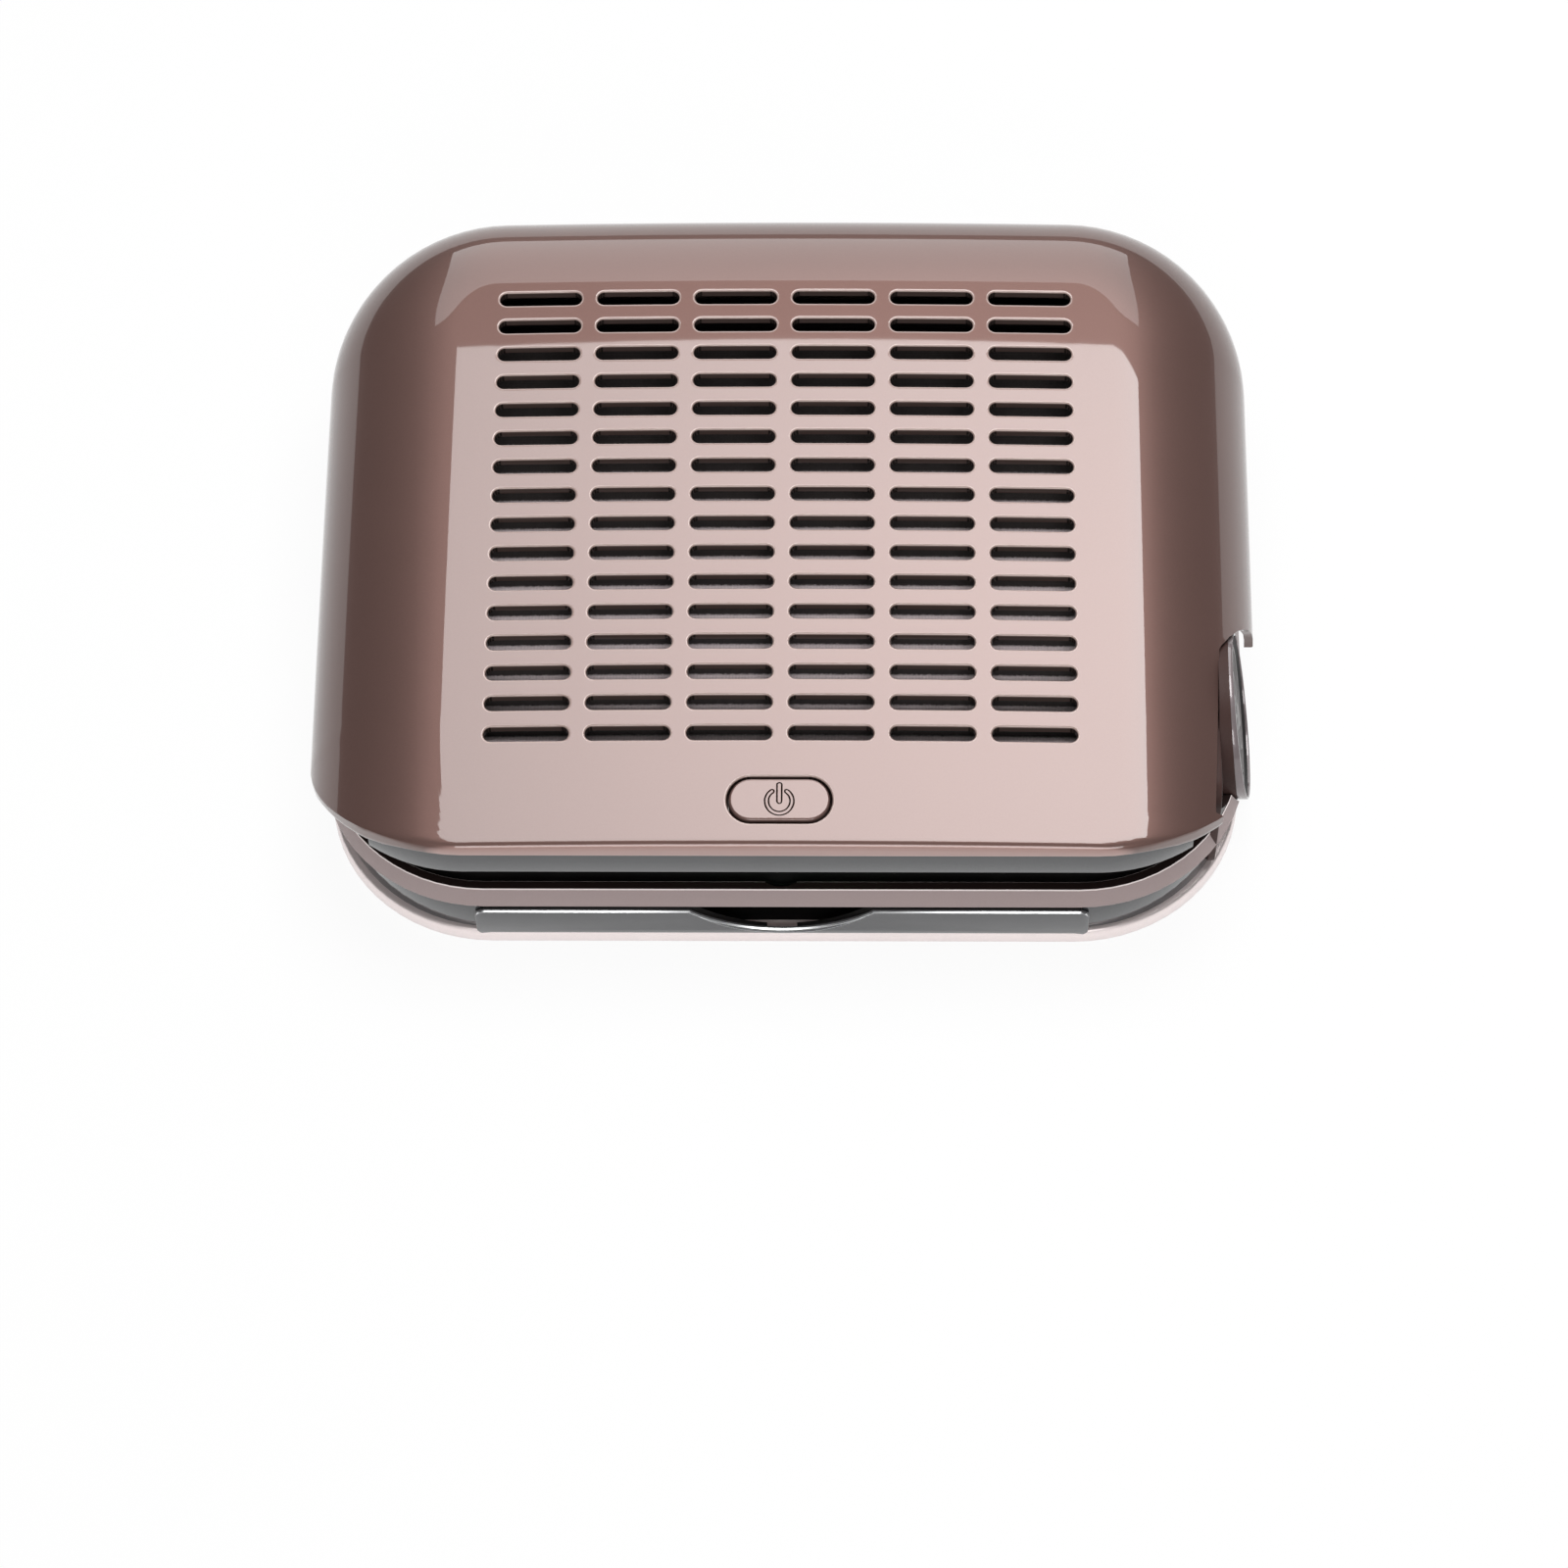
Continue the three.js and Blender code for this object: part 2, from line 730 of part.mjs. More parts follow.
function addBoard() {
  const board = box(
    [-boardLength / 2, buttonY - boardWidth / 2, boardBottom],
    [boardLength / 2, buttonY + boardWidth / 2, boardTop],
  );
  const holes = besideMiddle(boardPostSpacing).map((x) =>
    rod(boardScrewRadius + fitGap, boardBottom - overrun, boardTop + overrun, x, buttonY, smallRoundSteps));
  addMesh("control_board", cut(board, ...holes), boardGreen);
  const body = box(
    [-switchSide / 2, buttonY - switchSide / 2, boardTop + fitGap],
    [switchSide / 2, buttonY + switchSide / 2, switchTop],
  );
  const plunger = rod(switchPlungerRadius, switchTop - fitGap, plungerTop, 0, buttonY,
    smallRoundSteps);
  addMesh("tact_switch", join(body, plunger), blackPlastic);
  ["left", "right"].forEach((side, i) => {
    const x = besideMiddle(boardPostSpacing)[i];
    const headTop = boardBottom - fitGap;
    const head = rod(boardScrewHeadRadius, headTop - boardScrewHeadHeight, headTop, x, buttonY,
      smallRoundSteps);
    const shank = rod(boardScrewRadius, headTop - fitGap, boardBottom + boardScrewLength, x, buttonY,
      smallRoundSteps);
    addMesh("board_screw_" + side, join(head, shank), steel);
  });
}

function addMagnets() {
  ["left", "right"].forEach((side, i) => {
    const x = besideMiddle(magnetSpacing)[i];
    const low = coverMagnetBottom + fitGap;
    addMesh("cover_magnet_" + side, rod(magnetRadius, low, low + magnetHeight, x, magnetY), steel);
    const high = magnetLevel - fitGap;
    addMesh("base_magnet_" + side, rod(magnetRadius, high - magnetHeight, high, x, magnetY), steel);
  });
}

// Base

function footPlaces() {
  const x = plateHalfWidth - footSideInset;
  return {
    front_left: [-x, frontY + footFrontInset],
    front_right: [x, frontY + footFrontInset],
    back_left: [-x, backY - footFrontInset],
    back_right: [x, backY - footFrontInset],
  };
}

function screwPlaces() {
  const x = plinthHalfWidth - screwSideInset;
  return {
    front_left: [-x, frontY + screwFrontInset],
    front_right: [x, frontY + screwFrontInset],
    back_left: [-x, backY - screwFrontInset],
    back_right: [x, backY - screwFrontInset],
  };
}

function addBasePlate() {
  const plate = loft([
    levelRing(plateOutline, plateEdgeRound, plateTop),
    levelRing(plateOutline, 0, plateTop - plateEdgeRound),
    levelRing(plateOutline, 0, plateBottom + plateEdgeRound),
    levelRing(plateOutline, plateEdgeRound, plateBottom),
  ]);
  const pockets = Object.values(footPlaces()).map(([x, y]) =>
    rod(footRadius + fitGap, plateBottom - overrun, plateBottom + footPocketDepth, x, y));
  const holes = Object.values(screwPlaces()).flatMap(([x, y]) => [
    rod(screwRadius + fitGap, plateBottom - overrun, plateTop + overrun, x, y, smallRoundSteps),
    rod(screwHeadRadius + fitGap, plateBottom - overrun, plateBottom + screwHeadHeight + fitGap, x, y,
      smallRoundSteps),
  ]);
  addMesh("base_plate", cut(plate, ...pockets, ...holes), rimPaint);
}

function addFeet() {
  Object.entries(footPlaces()).forEach(([place, [x, y]]) =>
    addMesh("foot_" + place, rod(footRadius, 0, footHeight, x, y), rubber));
}

function addCaseScrews() {
  Object.entries(screwPlaces()).forEach(([place, [x, y]]) => {
    const low = plateBottom + fitGap;
    const head = rod(screwHeadRadius, low, low + screwHeadHeight - fitGap, x, y, smallRoundSteps);
    const shank = rod(screwRadius, low, low + screwLength, x, y, smallRoundSteps);
    addMesh("case_screw_" + place, join(head, shank), steel);
  });
}

function collarSpace(gap) {
  return crossRod(collarRadius + gap, exhaustPanelFace - exhaustPanelThickness - overrun,
    coverHalfWidth + overrun, exhaustY, exhaustLevel);
}

function addPlinth() {
  const wall = cut(
    prism(outlineShape(plinthOutline), plinthBottom, plinthTop),
    prism(outlineShape(plinthOutline, plinthWall), plinthBottom - overrun, plinthTop + overrun),
  );
  const bosses = Object.values(screwPlaces()).map(([x, y]) => {
    const outer = Math.sign(x) * (plinthHalfWidth - plinthWall / 2);
    const rib = box(
      [Math.min(x, outer), y - screwRadius, plinthBottom], [Math.max(x, outer), y + screwRadius, plinthTop],
    );
    return join(rod(bossRadius, plinthBottom, plinthTop, x, y, smallRoundSteps), rib);
  });
  const screwHoles = Object.values(screwPlaces()).map(([x, y]) =>
    rod(screwRadius + fitGap, plinthBottom - overrun, plateBottom + screwLength + 2 * fitGap, x, y,
      smallRoundSteps));
  const opening = box(
    [-drawerHalfWidth - fitGap, frontY - overrun, plinthBottom - overrun],
    [drawerHalfWidth + fitGap, frontY + fingerPocketDepth, plinthTop + overrun],
  );
  const socketHole = new THREE.CylinderGeometry(
    socketNoseRadius + fitGap, socketNoseRadius + fitGap, 2 * socketLength, roundSteps)
    .translate(socketX, backY, socketLevel());
  addMesh("plinth_band",
    cut(join(wall, ...bosses), ...screwHoles, opening, collarSpace(collarGap), solid(socketHole)),
    smokedGloss);
}

function addBaseRing() {
  const outside = loft([
    levelRing(ringOutline, 2 * ringDraft, ringTop),
    levelRing(ringOutline, ringDraft, ringTop - ringDraft / 2),
    levelRing(ringOutline, 0, ringBottom + ringDraft / 2),
    levelRing(ringOutline, ringDraft / 2, ringBottom),
  ]);
  const ledgeTop = ringBottom + ringFlangeThickness;
  const wallReach = ringWall + 2 * ringDraft;
  const well = prism(outlineShape(ringOutline, wallReach), ledgeTop, ringTop + overrun);
  const hollow = prism(outlineShape(ringOutline, ringFlangeWidth), ringBottom - overrun, ringTop);
  const notchMiddle = frontY + ringFrontSetback + wallReach - ledgeNotchBite + ledgeNotchReach;
  const oval = new THREE.CylinderGeometry(1, 1, 1, roundSteps).rotateX(Math.PI / 2)
    .scale(ledgeNotchHalfWidth, ledgeNotchReach, ringHeight)
    .translate(0, notchMiddle, ledgeTop + ringHeight / 2 + fitGap);
  const opened = cut(outside, well, hollow, solid(oval), collarSpace(collarGap),
    ...knuckles("cover", knuckleRadius + knuckleGap, knuckleGap));
  const hinged = join(opened, ...knuckles("base", knuckleRadius, 0));
  addMesh("base_ring", cut(hinged, ...hingeBores()), rosePaint);
}

function addHingePins() {
  ["left", "right"].forEach((side, i) => {
    const x = besideMiddle(hingeSpacing)[i];
    const reach = coverKnuckleWidth / 2 + knuckleGap + baseKnuckleWidth;
    addMesh("hinge_pin_" + side,
      crossRod(hingePinRadius, x - reach, x + reach, hingeY, hingeZ, smallRoundSteps), steel);
  });
}

function addDeck() {
  const inset = ringWall + 2 * ringDraft + fitGap;
  const plate = prism(outlineShape(ringOutline, inset), deckBottom, deckTop);
  const posts = besideMiddle(magnetSpacing).map((x) =>
    rod(magnetPostRadius, deckBottom, magnetLevel, x, magnetY, smallRoundSteps));
  const pockets = besideMiddle(magnetSpacing).map((x) =>
    rod(magnetRadius + fitGap, magnetLevel - magnetHeight - 2 * fitGap, magnetLevel + overrun, x, magnetY));
  const chute = box(
    [-chuteHalfLength, frontY + chuteInset, deckBottom - overrun],
    [chuteHalfLength, frontY + chuteInset + chuteWidth, deckTop + overrun],
  );
  const panelNotch = box(
    [exhaustPanelFace - exhaustPanelThickness - fitGap, exhaustY - collarRadius - collarGap,
      deckBottom - overrun],
    [coverHalfWidth, exhaustY + collarRadius + collarGap, deckTop + overrun],
  );
  const leadHole = rod(2 * leadRadius, deckBottom - overrun, deckTop + overrun, blowerX, blowerY,
    smallRoundSteps);
  addMesh("mid_deck", cut(join(plate, ...posts), ...pockets, chute, panelNotch, leadHole), blackPlastic);
}

// Exhaust

function turnedToSide(shape, thickness, face) {
  const geometry = new THREE.ExtrudeGeometry(shape, {
    depth: thickness, bevelEnabled: false, curveSegments: arcSteps,
  });
  geometry.rotateX(Math.PI / 2).rotateZ(Math.PI / 2);
  return solid(geometry.translate(face, exhaustY, 0));
}

function addSidePanel() {
  const inner = exhaustPanelFace - exhaustPanelThickness;
  const panel = turnedToSide(
    rectangleShape(exhaustPanelHalfWidth, deckTop + fitGap, exhaustPanelTop, exhaustPanelCorner),
    exhaustPanelThickness, inner);
  const collar = crossRod(collarRadius, exhaustPanelFace - fitGap, exhaustPanelFace + collarProud,
    exhaustY, exhaustLevel, fineSteps);
  const lowCollar = crossRod(collarRadius, inner, exhaustPanelFace, exhaustY, exhaustLevel,
    fineSteps).intersect(box(
    [inner - overrun, exhaustY - collarRadius, 0],
    [exhaustPanelFace, exhaustY + collarRadius, deckTop + 2 * fitGap],
  ));
  const bore = crossRod(collarRadius - collarWall, inner - overrun, coverHalfWidth, exhaustY,
    exhaustLevel, fineSteps);
  addMesh("side_panel", cut(join(panel, collar, lowCollar), bore), darkPanel);
}

// One curved spoke, from the hub out to the rim, that sweeps round by an angle in degrees.
function spokeShape(inner, outer, start) {
  const steps = 4;
  const middle = [];
  for (let i = 0; i <= steps; i++) {
    const share = i / steps;
    const radius = inner + (outer - inner) * share;
    const angle = start + radians(grilleSpokeSweep) * share * share;
    middle.push([radius, angle]);
  }
  const side = (sign) => middle.map(([radius, angle]) => {
    const turn = angle + (sign * grilleSpokeWidth) / (2 * radius);
    return new THREE.Vector2(radius * Math.cos(turn), exhaustLevel + radius * Math.sin(turn));
  });
  return new THREE.Shape([...side(-1), ...side(1).reverse()]);
}

function addExhaustGrille() {
  const outer = collarRadius - collarWall - fitGap;
  const face = exhaustPanelFace + collarProud - grilleSetback - grilleThickness;
  const rim = cut(
    crossRod(outer, face, face + grilleThickness, exhaustY, exhaustLevel, fineSteps),
    crossRod(outer - grilleRim, face - overrun, face + grilleThickness + overrun, exhaustY,
      exhaustLevel, fineSteps),
  );
  const hub = crossRod(grilleHubRadius, face, face + grilleThickness, exhaustY, exhaustLevel);
  const spokes = [];
  for (let i = 0; i < grilleSpokes; i++) {
    const start = (2 * Math.PI * i) / grilleSpokes;
    const shape = spokeShape(grilleHubRadius * spokeRootShare, outer - grilleRim / 2, start);
    spokes.push(turnedToSide(shape, grilleThickness, face));
  }
  addMesh("exhaust_grille", join(rim, hub, ...spokes), darkPanel);
}

// Filter

function addPlenum() {
  const walls = cut(
    prism(rectangleShape(plenumHalfWidth, plenumFront, plenumBack, plenumWall * 2), scrollBottom, plenumTop,
      slotEndSteps),
    prism(rectangleShape(plenumHalfWidth - plenumWall, plenumFront + plenumWall, plenumBack - plenumWall,
      plenumWall), scrollBottom - overrun, plenumTop + overrun, slotEndSteps),
  );
  const duct = box(
    [plenumHalfWidth - 2 * plenumWall, exhaustY - ductWidth / 2 - scrollWall - fitGap,
      scrollBottom - overrun],
    [plenumHalfWidth + overrun, exhaustY + ductWidth / 2 + scrollWall + fitGap,
      scrollTop + scrollCoverThickness + 2 * fitGap],
  );
  addMesh("plenum_box", cut(walls, duct), blackPlastic);
}

function addFilter() {
  const half = plenumHalfWidth;
  const inside = half - filterFrameWall;
  const front = plenumFront + filterFrameWall;
  const back = plenumBack - filterFrameWall;
  const block = prism(rectangleShape(half, plenumFront, plenumBack, plenumWall * 2), filterBottom, filterTop,
    slotEndSteps);
  const well = box([-inside, front, filterBottom + filterLipThickness], [inside, back, filterTop + overrun]);
  const hole = box(
    [-inside + filterLipWidth, front + filterLipWidth, filterBottom - overrun],
    [inside - filterLipWidth, back - filterLipWidth, filterTop],
  );
  addMesh("filter_frame", cut(block, well, hole), blackPlastic);
  const screenBottom = filterTop - screenThickness;
  const pleatLow = filterBottom + filterLipThickness + fitGap;
  const pleatHigh = screenBottom - fitGap;
  addMesh("filter_media",
    pleats(inside - fitGap, front + fitGap, back - fitGap, pleatLow, pleatHigh), filterWhite);
  addMesh("dust_screen",
    box([-inside + fitGap, front + fitGap, screenBottom], [inside - fitGap, back - fitGap, filterTop]),
    filterWhite);
}

// A folded sheet: a zigzag section, drawn across the frame.
function pleats(half, front, back, low, high) {
  const folds = Math.floor((back - front) / pleatPitch);
  const pitch = (back - front) / folds;
  const lower = [];
  const upper = [];
  for (let i = 0; i <= 2 * folds; i++) {
    const y = front + (pitch * i) / 2;
    const z = i % 2 ? high - pleatSheet : low;
    lower.push(new THREE.Vector2(y, z));
    upper.push(new THREE.Vector2(y, z + pleatSheet));
  }
  const shape = new THREE.Shape([...lower, ...upper.reverse()]);
  const geometry = new THREE.ExtrudeGeometry(shape, { depth: 2 * half, bevelEnabled: false });
  return solid(geometry.rotateX(Math.PI / 2).rotateZ(Math.PI / 2).translate(-half, 0, 0));
}

// Blower

// The spiral outline with its straight outlet to the right, grown or shrunk by a margin.
function scrollShape(margin, outletX) {
  const start = radians(scrollStartAngle);
  const end = 1.5 * Math.PI;
  const steps = 28;
  const shape = new THREE.Shape();
  const points = [];
  for (let i = 0; i <= steps; i++) {
    const share = i / steps;
    const angle = start + (end - start) * share;
    const radius = scrollStartRadius + (scrollEndRadius - scrollStartRadius) * share + margin;
    points.push([blowerX + radius * Math.cos(angle), blowerY + radius * Math.sin(angle)]);
  }
  const duct = exhaustY + ductWidth / 2 + margin;
  points[0] = [points[0][0], duct];
  shape.setFromPoints([
    ...points.map(([x, y]) => new THREE.Vector2(x, y)),
    new THREE.Vector2(outletX, exhaustY - ductWidth / 2 - margin),
    new THREE.Vector2(outletX, duct),
  ]);
  return shape;
}

function addScroll() {
  const outlet = exhaustPanelFace - exhaustPanelThickness - fitGap;
  const outer = prism(scrollShape(scrollWall, outlet), scrollBottom, scrollTop);
  const hollow = prism(scrollShape(0, outlet + overrun), scrollFloorTop, scrollTop + overrun);
  const sleeve = rod(sleeveRadius, scrollBottom, scrollFloorTop + sleeveHeight, blowerX, blowerY);
  const bore = rod(sleeveRadius - sleeveWall, scrollFloorTop, scrollTop, blowerX, blowerY);
  const leadHole = rod(leadRadius + fitGap, scrollBottom - overrun, scrollFloorTop + overrun,
    blowerX, blowerY, smallRoundSteps);
  addMesh("blower_scroll", cut(join(cut(outer, hollow), sleeve), bore, leadHole), blackPlastic);
  const coverLow = scrollTop + fitGap;
  const plate = prism(scrollShape(scrollWall, outlet), coverLow, coverLow + scrollCoverThickness);
  const inlet = rod(inletRadius, coverLow - overrun, coverLow + 2 * overrun, blowerX, blowerY, fineSteps);
  addMesh("scroll_cover", cut(plate, inlet), blackPlastic);
}

// One blade in plan, curved forwards by its lean in degrees.
function bladeShape(turn) {
  const steps = 2;
  const outer = impellerRadius - bladeRingWidth / 6;
  const side = (offset) => {
    const points = [];
    for (let i = 0; i <= steps; i++) {
      const share = i / steps;
      const radius = bladeInnerRadius + (outer - bladeInnerRadius) * share;
      const angle = turn + radians(bladeLean) * share * share + offset / (2 * radius);
      points.push(new THREE.Vector2(
        blowerX + radius * Math.cos(angle), blowerY + radius * Math.sin(angle)));
    }
    return points;
  };
  return new THREE.Shape([...side(-bladeThickness), ...side(bladeThickness).reverse()]);
}

function addImpeller() {
  const low = scrollFloorTop + impellerLift;
  const discTop = low + impellerDisc;
  const bladeTop = discTop + bladeHeight;
  const disc = tube(impellerRadius, hubRadius - hubWall / 2, low, discTop, blowerX, blowerY, fineSteps);
  const hub = cut(
    rod(hubRadius, low, low + hubHeight, blowerX, blowerY),
    rod(hubRadius - hubWall, low - overrun, low + hubHeight - hubWall, blowerX, blowerY),
    rod(shaftRadius + fitGap, low, low + hubHeight + overrun, blowerX, blowerY, smallRoundSteps),
  );
  const blades = [];
  for (let i = 0; i < bladeCount; i++) {
    const turn = (2 * Math.PI * i) / bladeCount;
    blades.push(prism(bladeShape(turn), discTop - fitGap, bladeTop));
  }
  const ring = tube(impellerRadius, impellerRadius - bladeRingWidth, bladeTop - fitGap,
    bladeTop + bladeRingThickness, blowerX, blowerY, fineSteps);
  addMesh("impeller", join(disc, hub, ...blades, ring), blackPlastic);
  const rotorOuter = hubRadius - hubWall - fitGap;
  const rotorTop = low + hubHeight - hubWall - fitGap;
  addMesh("rotor_ring",
    tube(rotorOuter, statorRadius + motorAirGap, rotorTop - rotorHeight, rotorTop, blowerX, blowerY), steel);
  const shaftLow = scrollFloorTop + fitGap;
  addMesh("motor_shaft",
    rod(shaftRadius, shaftLow, shaftLow + shaftLength, blowerX, blowerY, smallRoundSteps), steel);
}

function addMotor() {
  const low = scrollFloorTop + fitGap;
  addMesh("motor_stator",
    tube(statorRadius, sleeveRadius + fitGap, low, low + statorHeight, blowerX, blowerY), copper);
  const outer = sleeveRadius - sleeveWall - fitGap;
  const inner = Math.max(outer - bearingWall, shaftRadius + fitGap);
  const high = scrollFloorTop + sleeveHeight;
  addMesh("bearing_lower", tube(outer, inner, low, low + bearingHeight, blowerX, blowerY), steel);
  addMesh("bearing_upper", tube(outer, inner, high - bearingHeight, high, blowerX, blowerY), steel);
}

// Drawer

const drawerBottom = plateTop + drawerLift;
const drawerTop = plinthTop - drawerHeadroom;
const drawerFace = frontY - drawerFrontProud;
const trayFront = drawerFace + drawerFrontThickness + fitGap;

// The half-moon that the finger goes into, through the front and the tray's wall.
function notchCut(length) {
  const radius = (notchHalfWidth ** 2 + notchDepth ** 2) / (2 * notchDepth);
  const geometry = new THREE.CylinderGeometry(radius, radius, length, 3 * roundSteps);
  return solid(geometry.translate(0, drawerFace, drawerTop - notchDepth + radius));
}

function addDrawer() {
  const front = new THREE.ExtrudeGeometry(
    rectangleShape(drawerFrontHalfWidth, drawerBottom, drawerTop, drawerFrontCorner),
    { depth: drawerFrontThickness, bevelEnabled: false, curveSegments: slotEndSteps },
  ).rotateX(Math.PI / 2).translate(0, drawerFace + drawerFrontThickness, 0);
  const reach = 4 * drawerFrontThickness + 2 * drawerWall;
  addMesh("drawer_front", cut(solid(front), notchCut(reach)), smokedGloss);

  const back = trayFront + drawerLength;
  const floorTop = drawerBottom + drawerFloor;
  const inside = drawerHalfWidth - drawerWall;
  const shell = cut(
    box([-drawerHalfWidth, trayFront, drawerBottom], [drawerHalfWidth, back, drawerTop]),
    box([-inside, trayFront + drawerWall, floorTop], [inside, back - drawerWall, drawerTop + overrun]),
  );
  const pocketBack = trayFront + fingerPocketDepth;
  const pocketInner = fingerPocketHalfWidth - drawerWall;
  const pocket = cut(
    box([-fingerPocketHalfWidth, trayFront, drawerBottom], [fingerPocketHalfWidth, pocketBack, drawerTop]),
    box([-pocketInner, trayFront - overrun, floorTop], [pocketInner, pocketBack - drawerWall,
      drawerTop + overrun]),
  );
  const wallBehindNotch = box(
    [-pocketInner, trayFront, drawerBottom], [pocketInner, trayFront + drawerWall, drawerTop]);
  addMesh("drawer_tray", cut(join(shell, pocket, wallBehindNotch), notchCut(reach)), blackPlastic);
}

function addRails() {
  ["left", "right"].forEach((side, i) => {
    const inner = besideMiddle(2 * (drawerHalfWidth + fitGap))[i];
    const outer = inner + Math.sign(inner) * railWidth;
    addMesh("drawer_rail_" + side, box(
      [Math.min(inner, outer), frontY + fingerPocketDepth + fitGap, plinthBottom],
      [Math.max(inner, outer), trayFront + drawerLength, plinthBottom + railHeight],
    ), blackPlastic);
  });
}

// Socket and lead

function socketLevel() {
  return plateTop + fitGap + socketHeight / 2;
}

// The inlet at the back: a block with a round nose through the wall, a bore and its middle pin.
function addSocket() {
  const level = socketLevel();
  const inner = plinthOutline.back - plinthWall - fitGap;
  const body = box(
    [socketX - socketWidth / 2, inner - socketLength, level - socketHeight / 2],
    [socketX + socketWidth / 2, inner, level + socketHeight / 2],
  );
  const alongY = (radius, from, to, steps) => solid(
    new THREE.CylinderGeometry(radius, radius, to - from, steps)
      .translate(socketX, (from + to) / 2, level));
  const nose = alongY(socketNoseRadius, inner - fitGap, plinthOutline.back, roundSteps);
  const bore = alongY(socketBoreRadius, plinthOutline.back - socketBoreDepth,
    plinthOutline.back + overrun, roundSteps);
  const pin = alongY(socketPinRadius, plinthOutline.back - socketBoreDepth - fitGap,
    plinthOutline.back - socketBoreDepth / 2, smallRoundSteps);
  addMesh("dc_socket", join(cut(join(body, nose), bore), pin), blackPlastic);
  addLead(inner - socketLength - fitGap, level);
}

// The lead from the socket to the motor, along the plate and up through the deck.
function addLead(startY, level) {
  const low = plateTop + 2.2 * leadRadius;
  const high = scrollFloorTop;
  const points = [
    new THREE.Vector3(socketX, startY, level),
    new THREE.Vector3(socketX, startY - leadBend / 2, level),
    new THREE.Vector3(socketX - leadBend / 4, startY - 1.5 * leadBend, low),
    new THREE.Vector3((2 * socketX + blowerX) / 3, (2 * startY + blowerY) / 3 - leadBend, low),
    new THREE.Vector3(blowerX + leadBend, blowerY + leadBend, low),
    new THREE.Vector3(blowerX + leadRadius, blowerY + leadRadius, low + leadBend / 3),
    new THREE.Vector3(blowerX, blowerY, deckBottom),
    new THREE.Vector3(blowerX, blowerY, high),
  ];
  const section = new THREE.Shape().absarc(0, 0, leadRadius, 0, 2 * Math.PI);
  const geometry = new THREE.ExtrudeGeometry(section, {
    steps: 18, curveSegments: 4, bevelEnabled: false,
    extrudePath: new THREE.CatmullRomCurve3(points),
  });
  addMesh("power_lead", solid(geometry), rubber);
}

addCover();
addButton();
addBoard();
addMagnets();
addBasePlate();
addFeet();
addCaseScrews();
addPlinth();
addBaseRing();
addHingePins();
addDeck();
addSidePanel();
addExhaustGrille();
addPlenum();
addFilter();
addScroll();
addImpeller();
addMotor();
addDrawer();
addRails();
addSocket();

export default collector;
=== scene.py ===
import math

import bmesh
import bpy
import numpy as np
from mathutils import Matrix, Vector


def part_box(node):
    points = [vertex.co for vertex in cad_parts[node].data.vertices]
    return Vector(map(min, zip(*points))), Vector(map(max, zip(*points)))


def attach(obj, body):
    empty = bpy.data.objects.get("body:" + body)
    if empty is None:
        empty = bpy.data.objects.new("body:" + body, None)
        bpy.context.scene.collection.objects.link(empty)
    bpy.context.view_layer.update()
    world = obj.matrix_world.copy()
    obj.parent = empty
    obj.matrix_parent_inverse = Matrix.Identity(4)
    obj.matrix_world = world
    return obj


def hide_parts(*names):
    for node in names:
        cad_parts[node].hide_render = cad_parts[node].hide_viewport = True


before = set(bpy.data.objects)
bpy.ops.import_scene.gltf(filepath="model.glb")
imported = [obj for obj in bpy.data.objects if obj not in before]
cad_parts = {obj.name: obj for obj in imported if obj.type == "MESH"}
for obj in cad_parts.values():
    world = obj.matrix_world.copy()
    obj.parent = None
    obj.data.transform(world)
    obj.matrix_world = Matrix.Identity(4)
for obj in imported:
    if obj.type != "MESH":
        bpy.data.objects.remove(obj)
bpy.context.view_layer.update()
MM = 0.001

# Sizes of the body in millimetres, in the CAD model's frame
FRONT, BACK = -107.7, 104.5
DEPTH = BACK - FRONT
HALF = 134.3
FRONT_CORNER, BACK_CORNER = 47, 52
FRONT_HEIGHT, BACK_HEIGHT = 56.5, 82.05
BOW, CROWN = 3, 3.2
WALL = 2.5
ROLL, LIP = 38, 2.1
COVER_BOTTOM = 27.8
MOUTH_TOP = 41.6
BAND_RECESS, CURTAIN = 1.6, 2.0
BAND_END = 54.7
# Heights of the paint's edge and of the mouth's, by degrees round a front corner from its side
LIP_LEVELS = [BAND_END, 62, 69, 77, 86], [45.35, 47.75, 50.05, 51.0, 51.2]
MOUTH_LEVELS = [16, 24, 30, 37, 47, BAND_END], [COVER_BOTTOM, 33, 37.5, 40.1, 43.5, 45.35]

# The field of slots and the button
COLUMN_PITCH, ROW_PITCH = 28.07, 9.03
SLOT_COLUMNS, SLOT_ROWS = 6, 16
SLOT_LENGTH, SLOT_WIDTH, SLOT_ROUND = 23.6, 4.1, 0.55
FIELD_HALF = COLUMN_PITCH * SLOT_COLUMNS / 2
FIELD_FRONT = FRONT + 33.1 - ROW_PITCH / 2
FIELD_BACK = FIELD_FRONT + ROW_PITCH * SLOT_ROWS
APRON_FRONT = FRONT + 6
BUTTON_Y = FRONT + 13.6
BUTTON_SIZE, BUTTON_HOLE = (27.8, 12), (29.2, 13.4)
BUTTON_EDGE, BUTTON_PROUD = 0.6, 0.2
GUIDE_DEPTH = 4.2
BOARD_POSTS, MAGNET_POSTS = (-23, 23), (-62, 62)

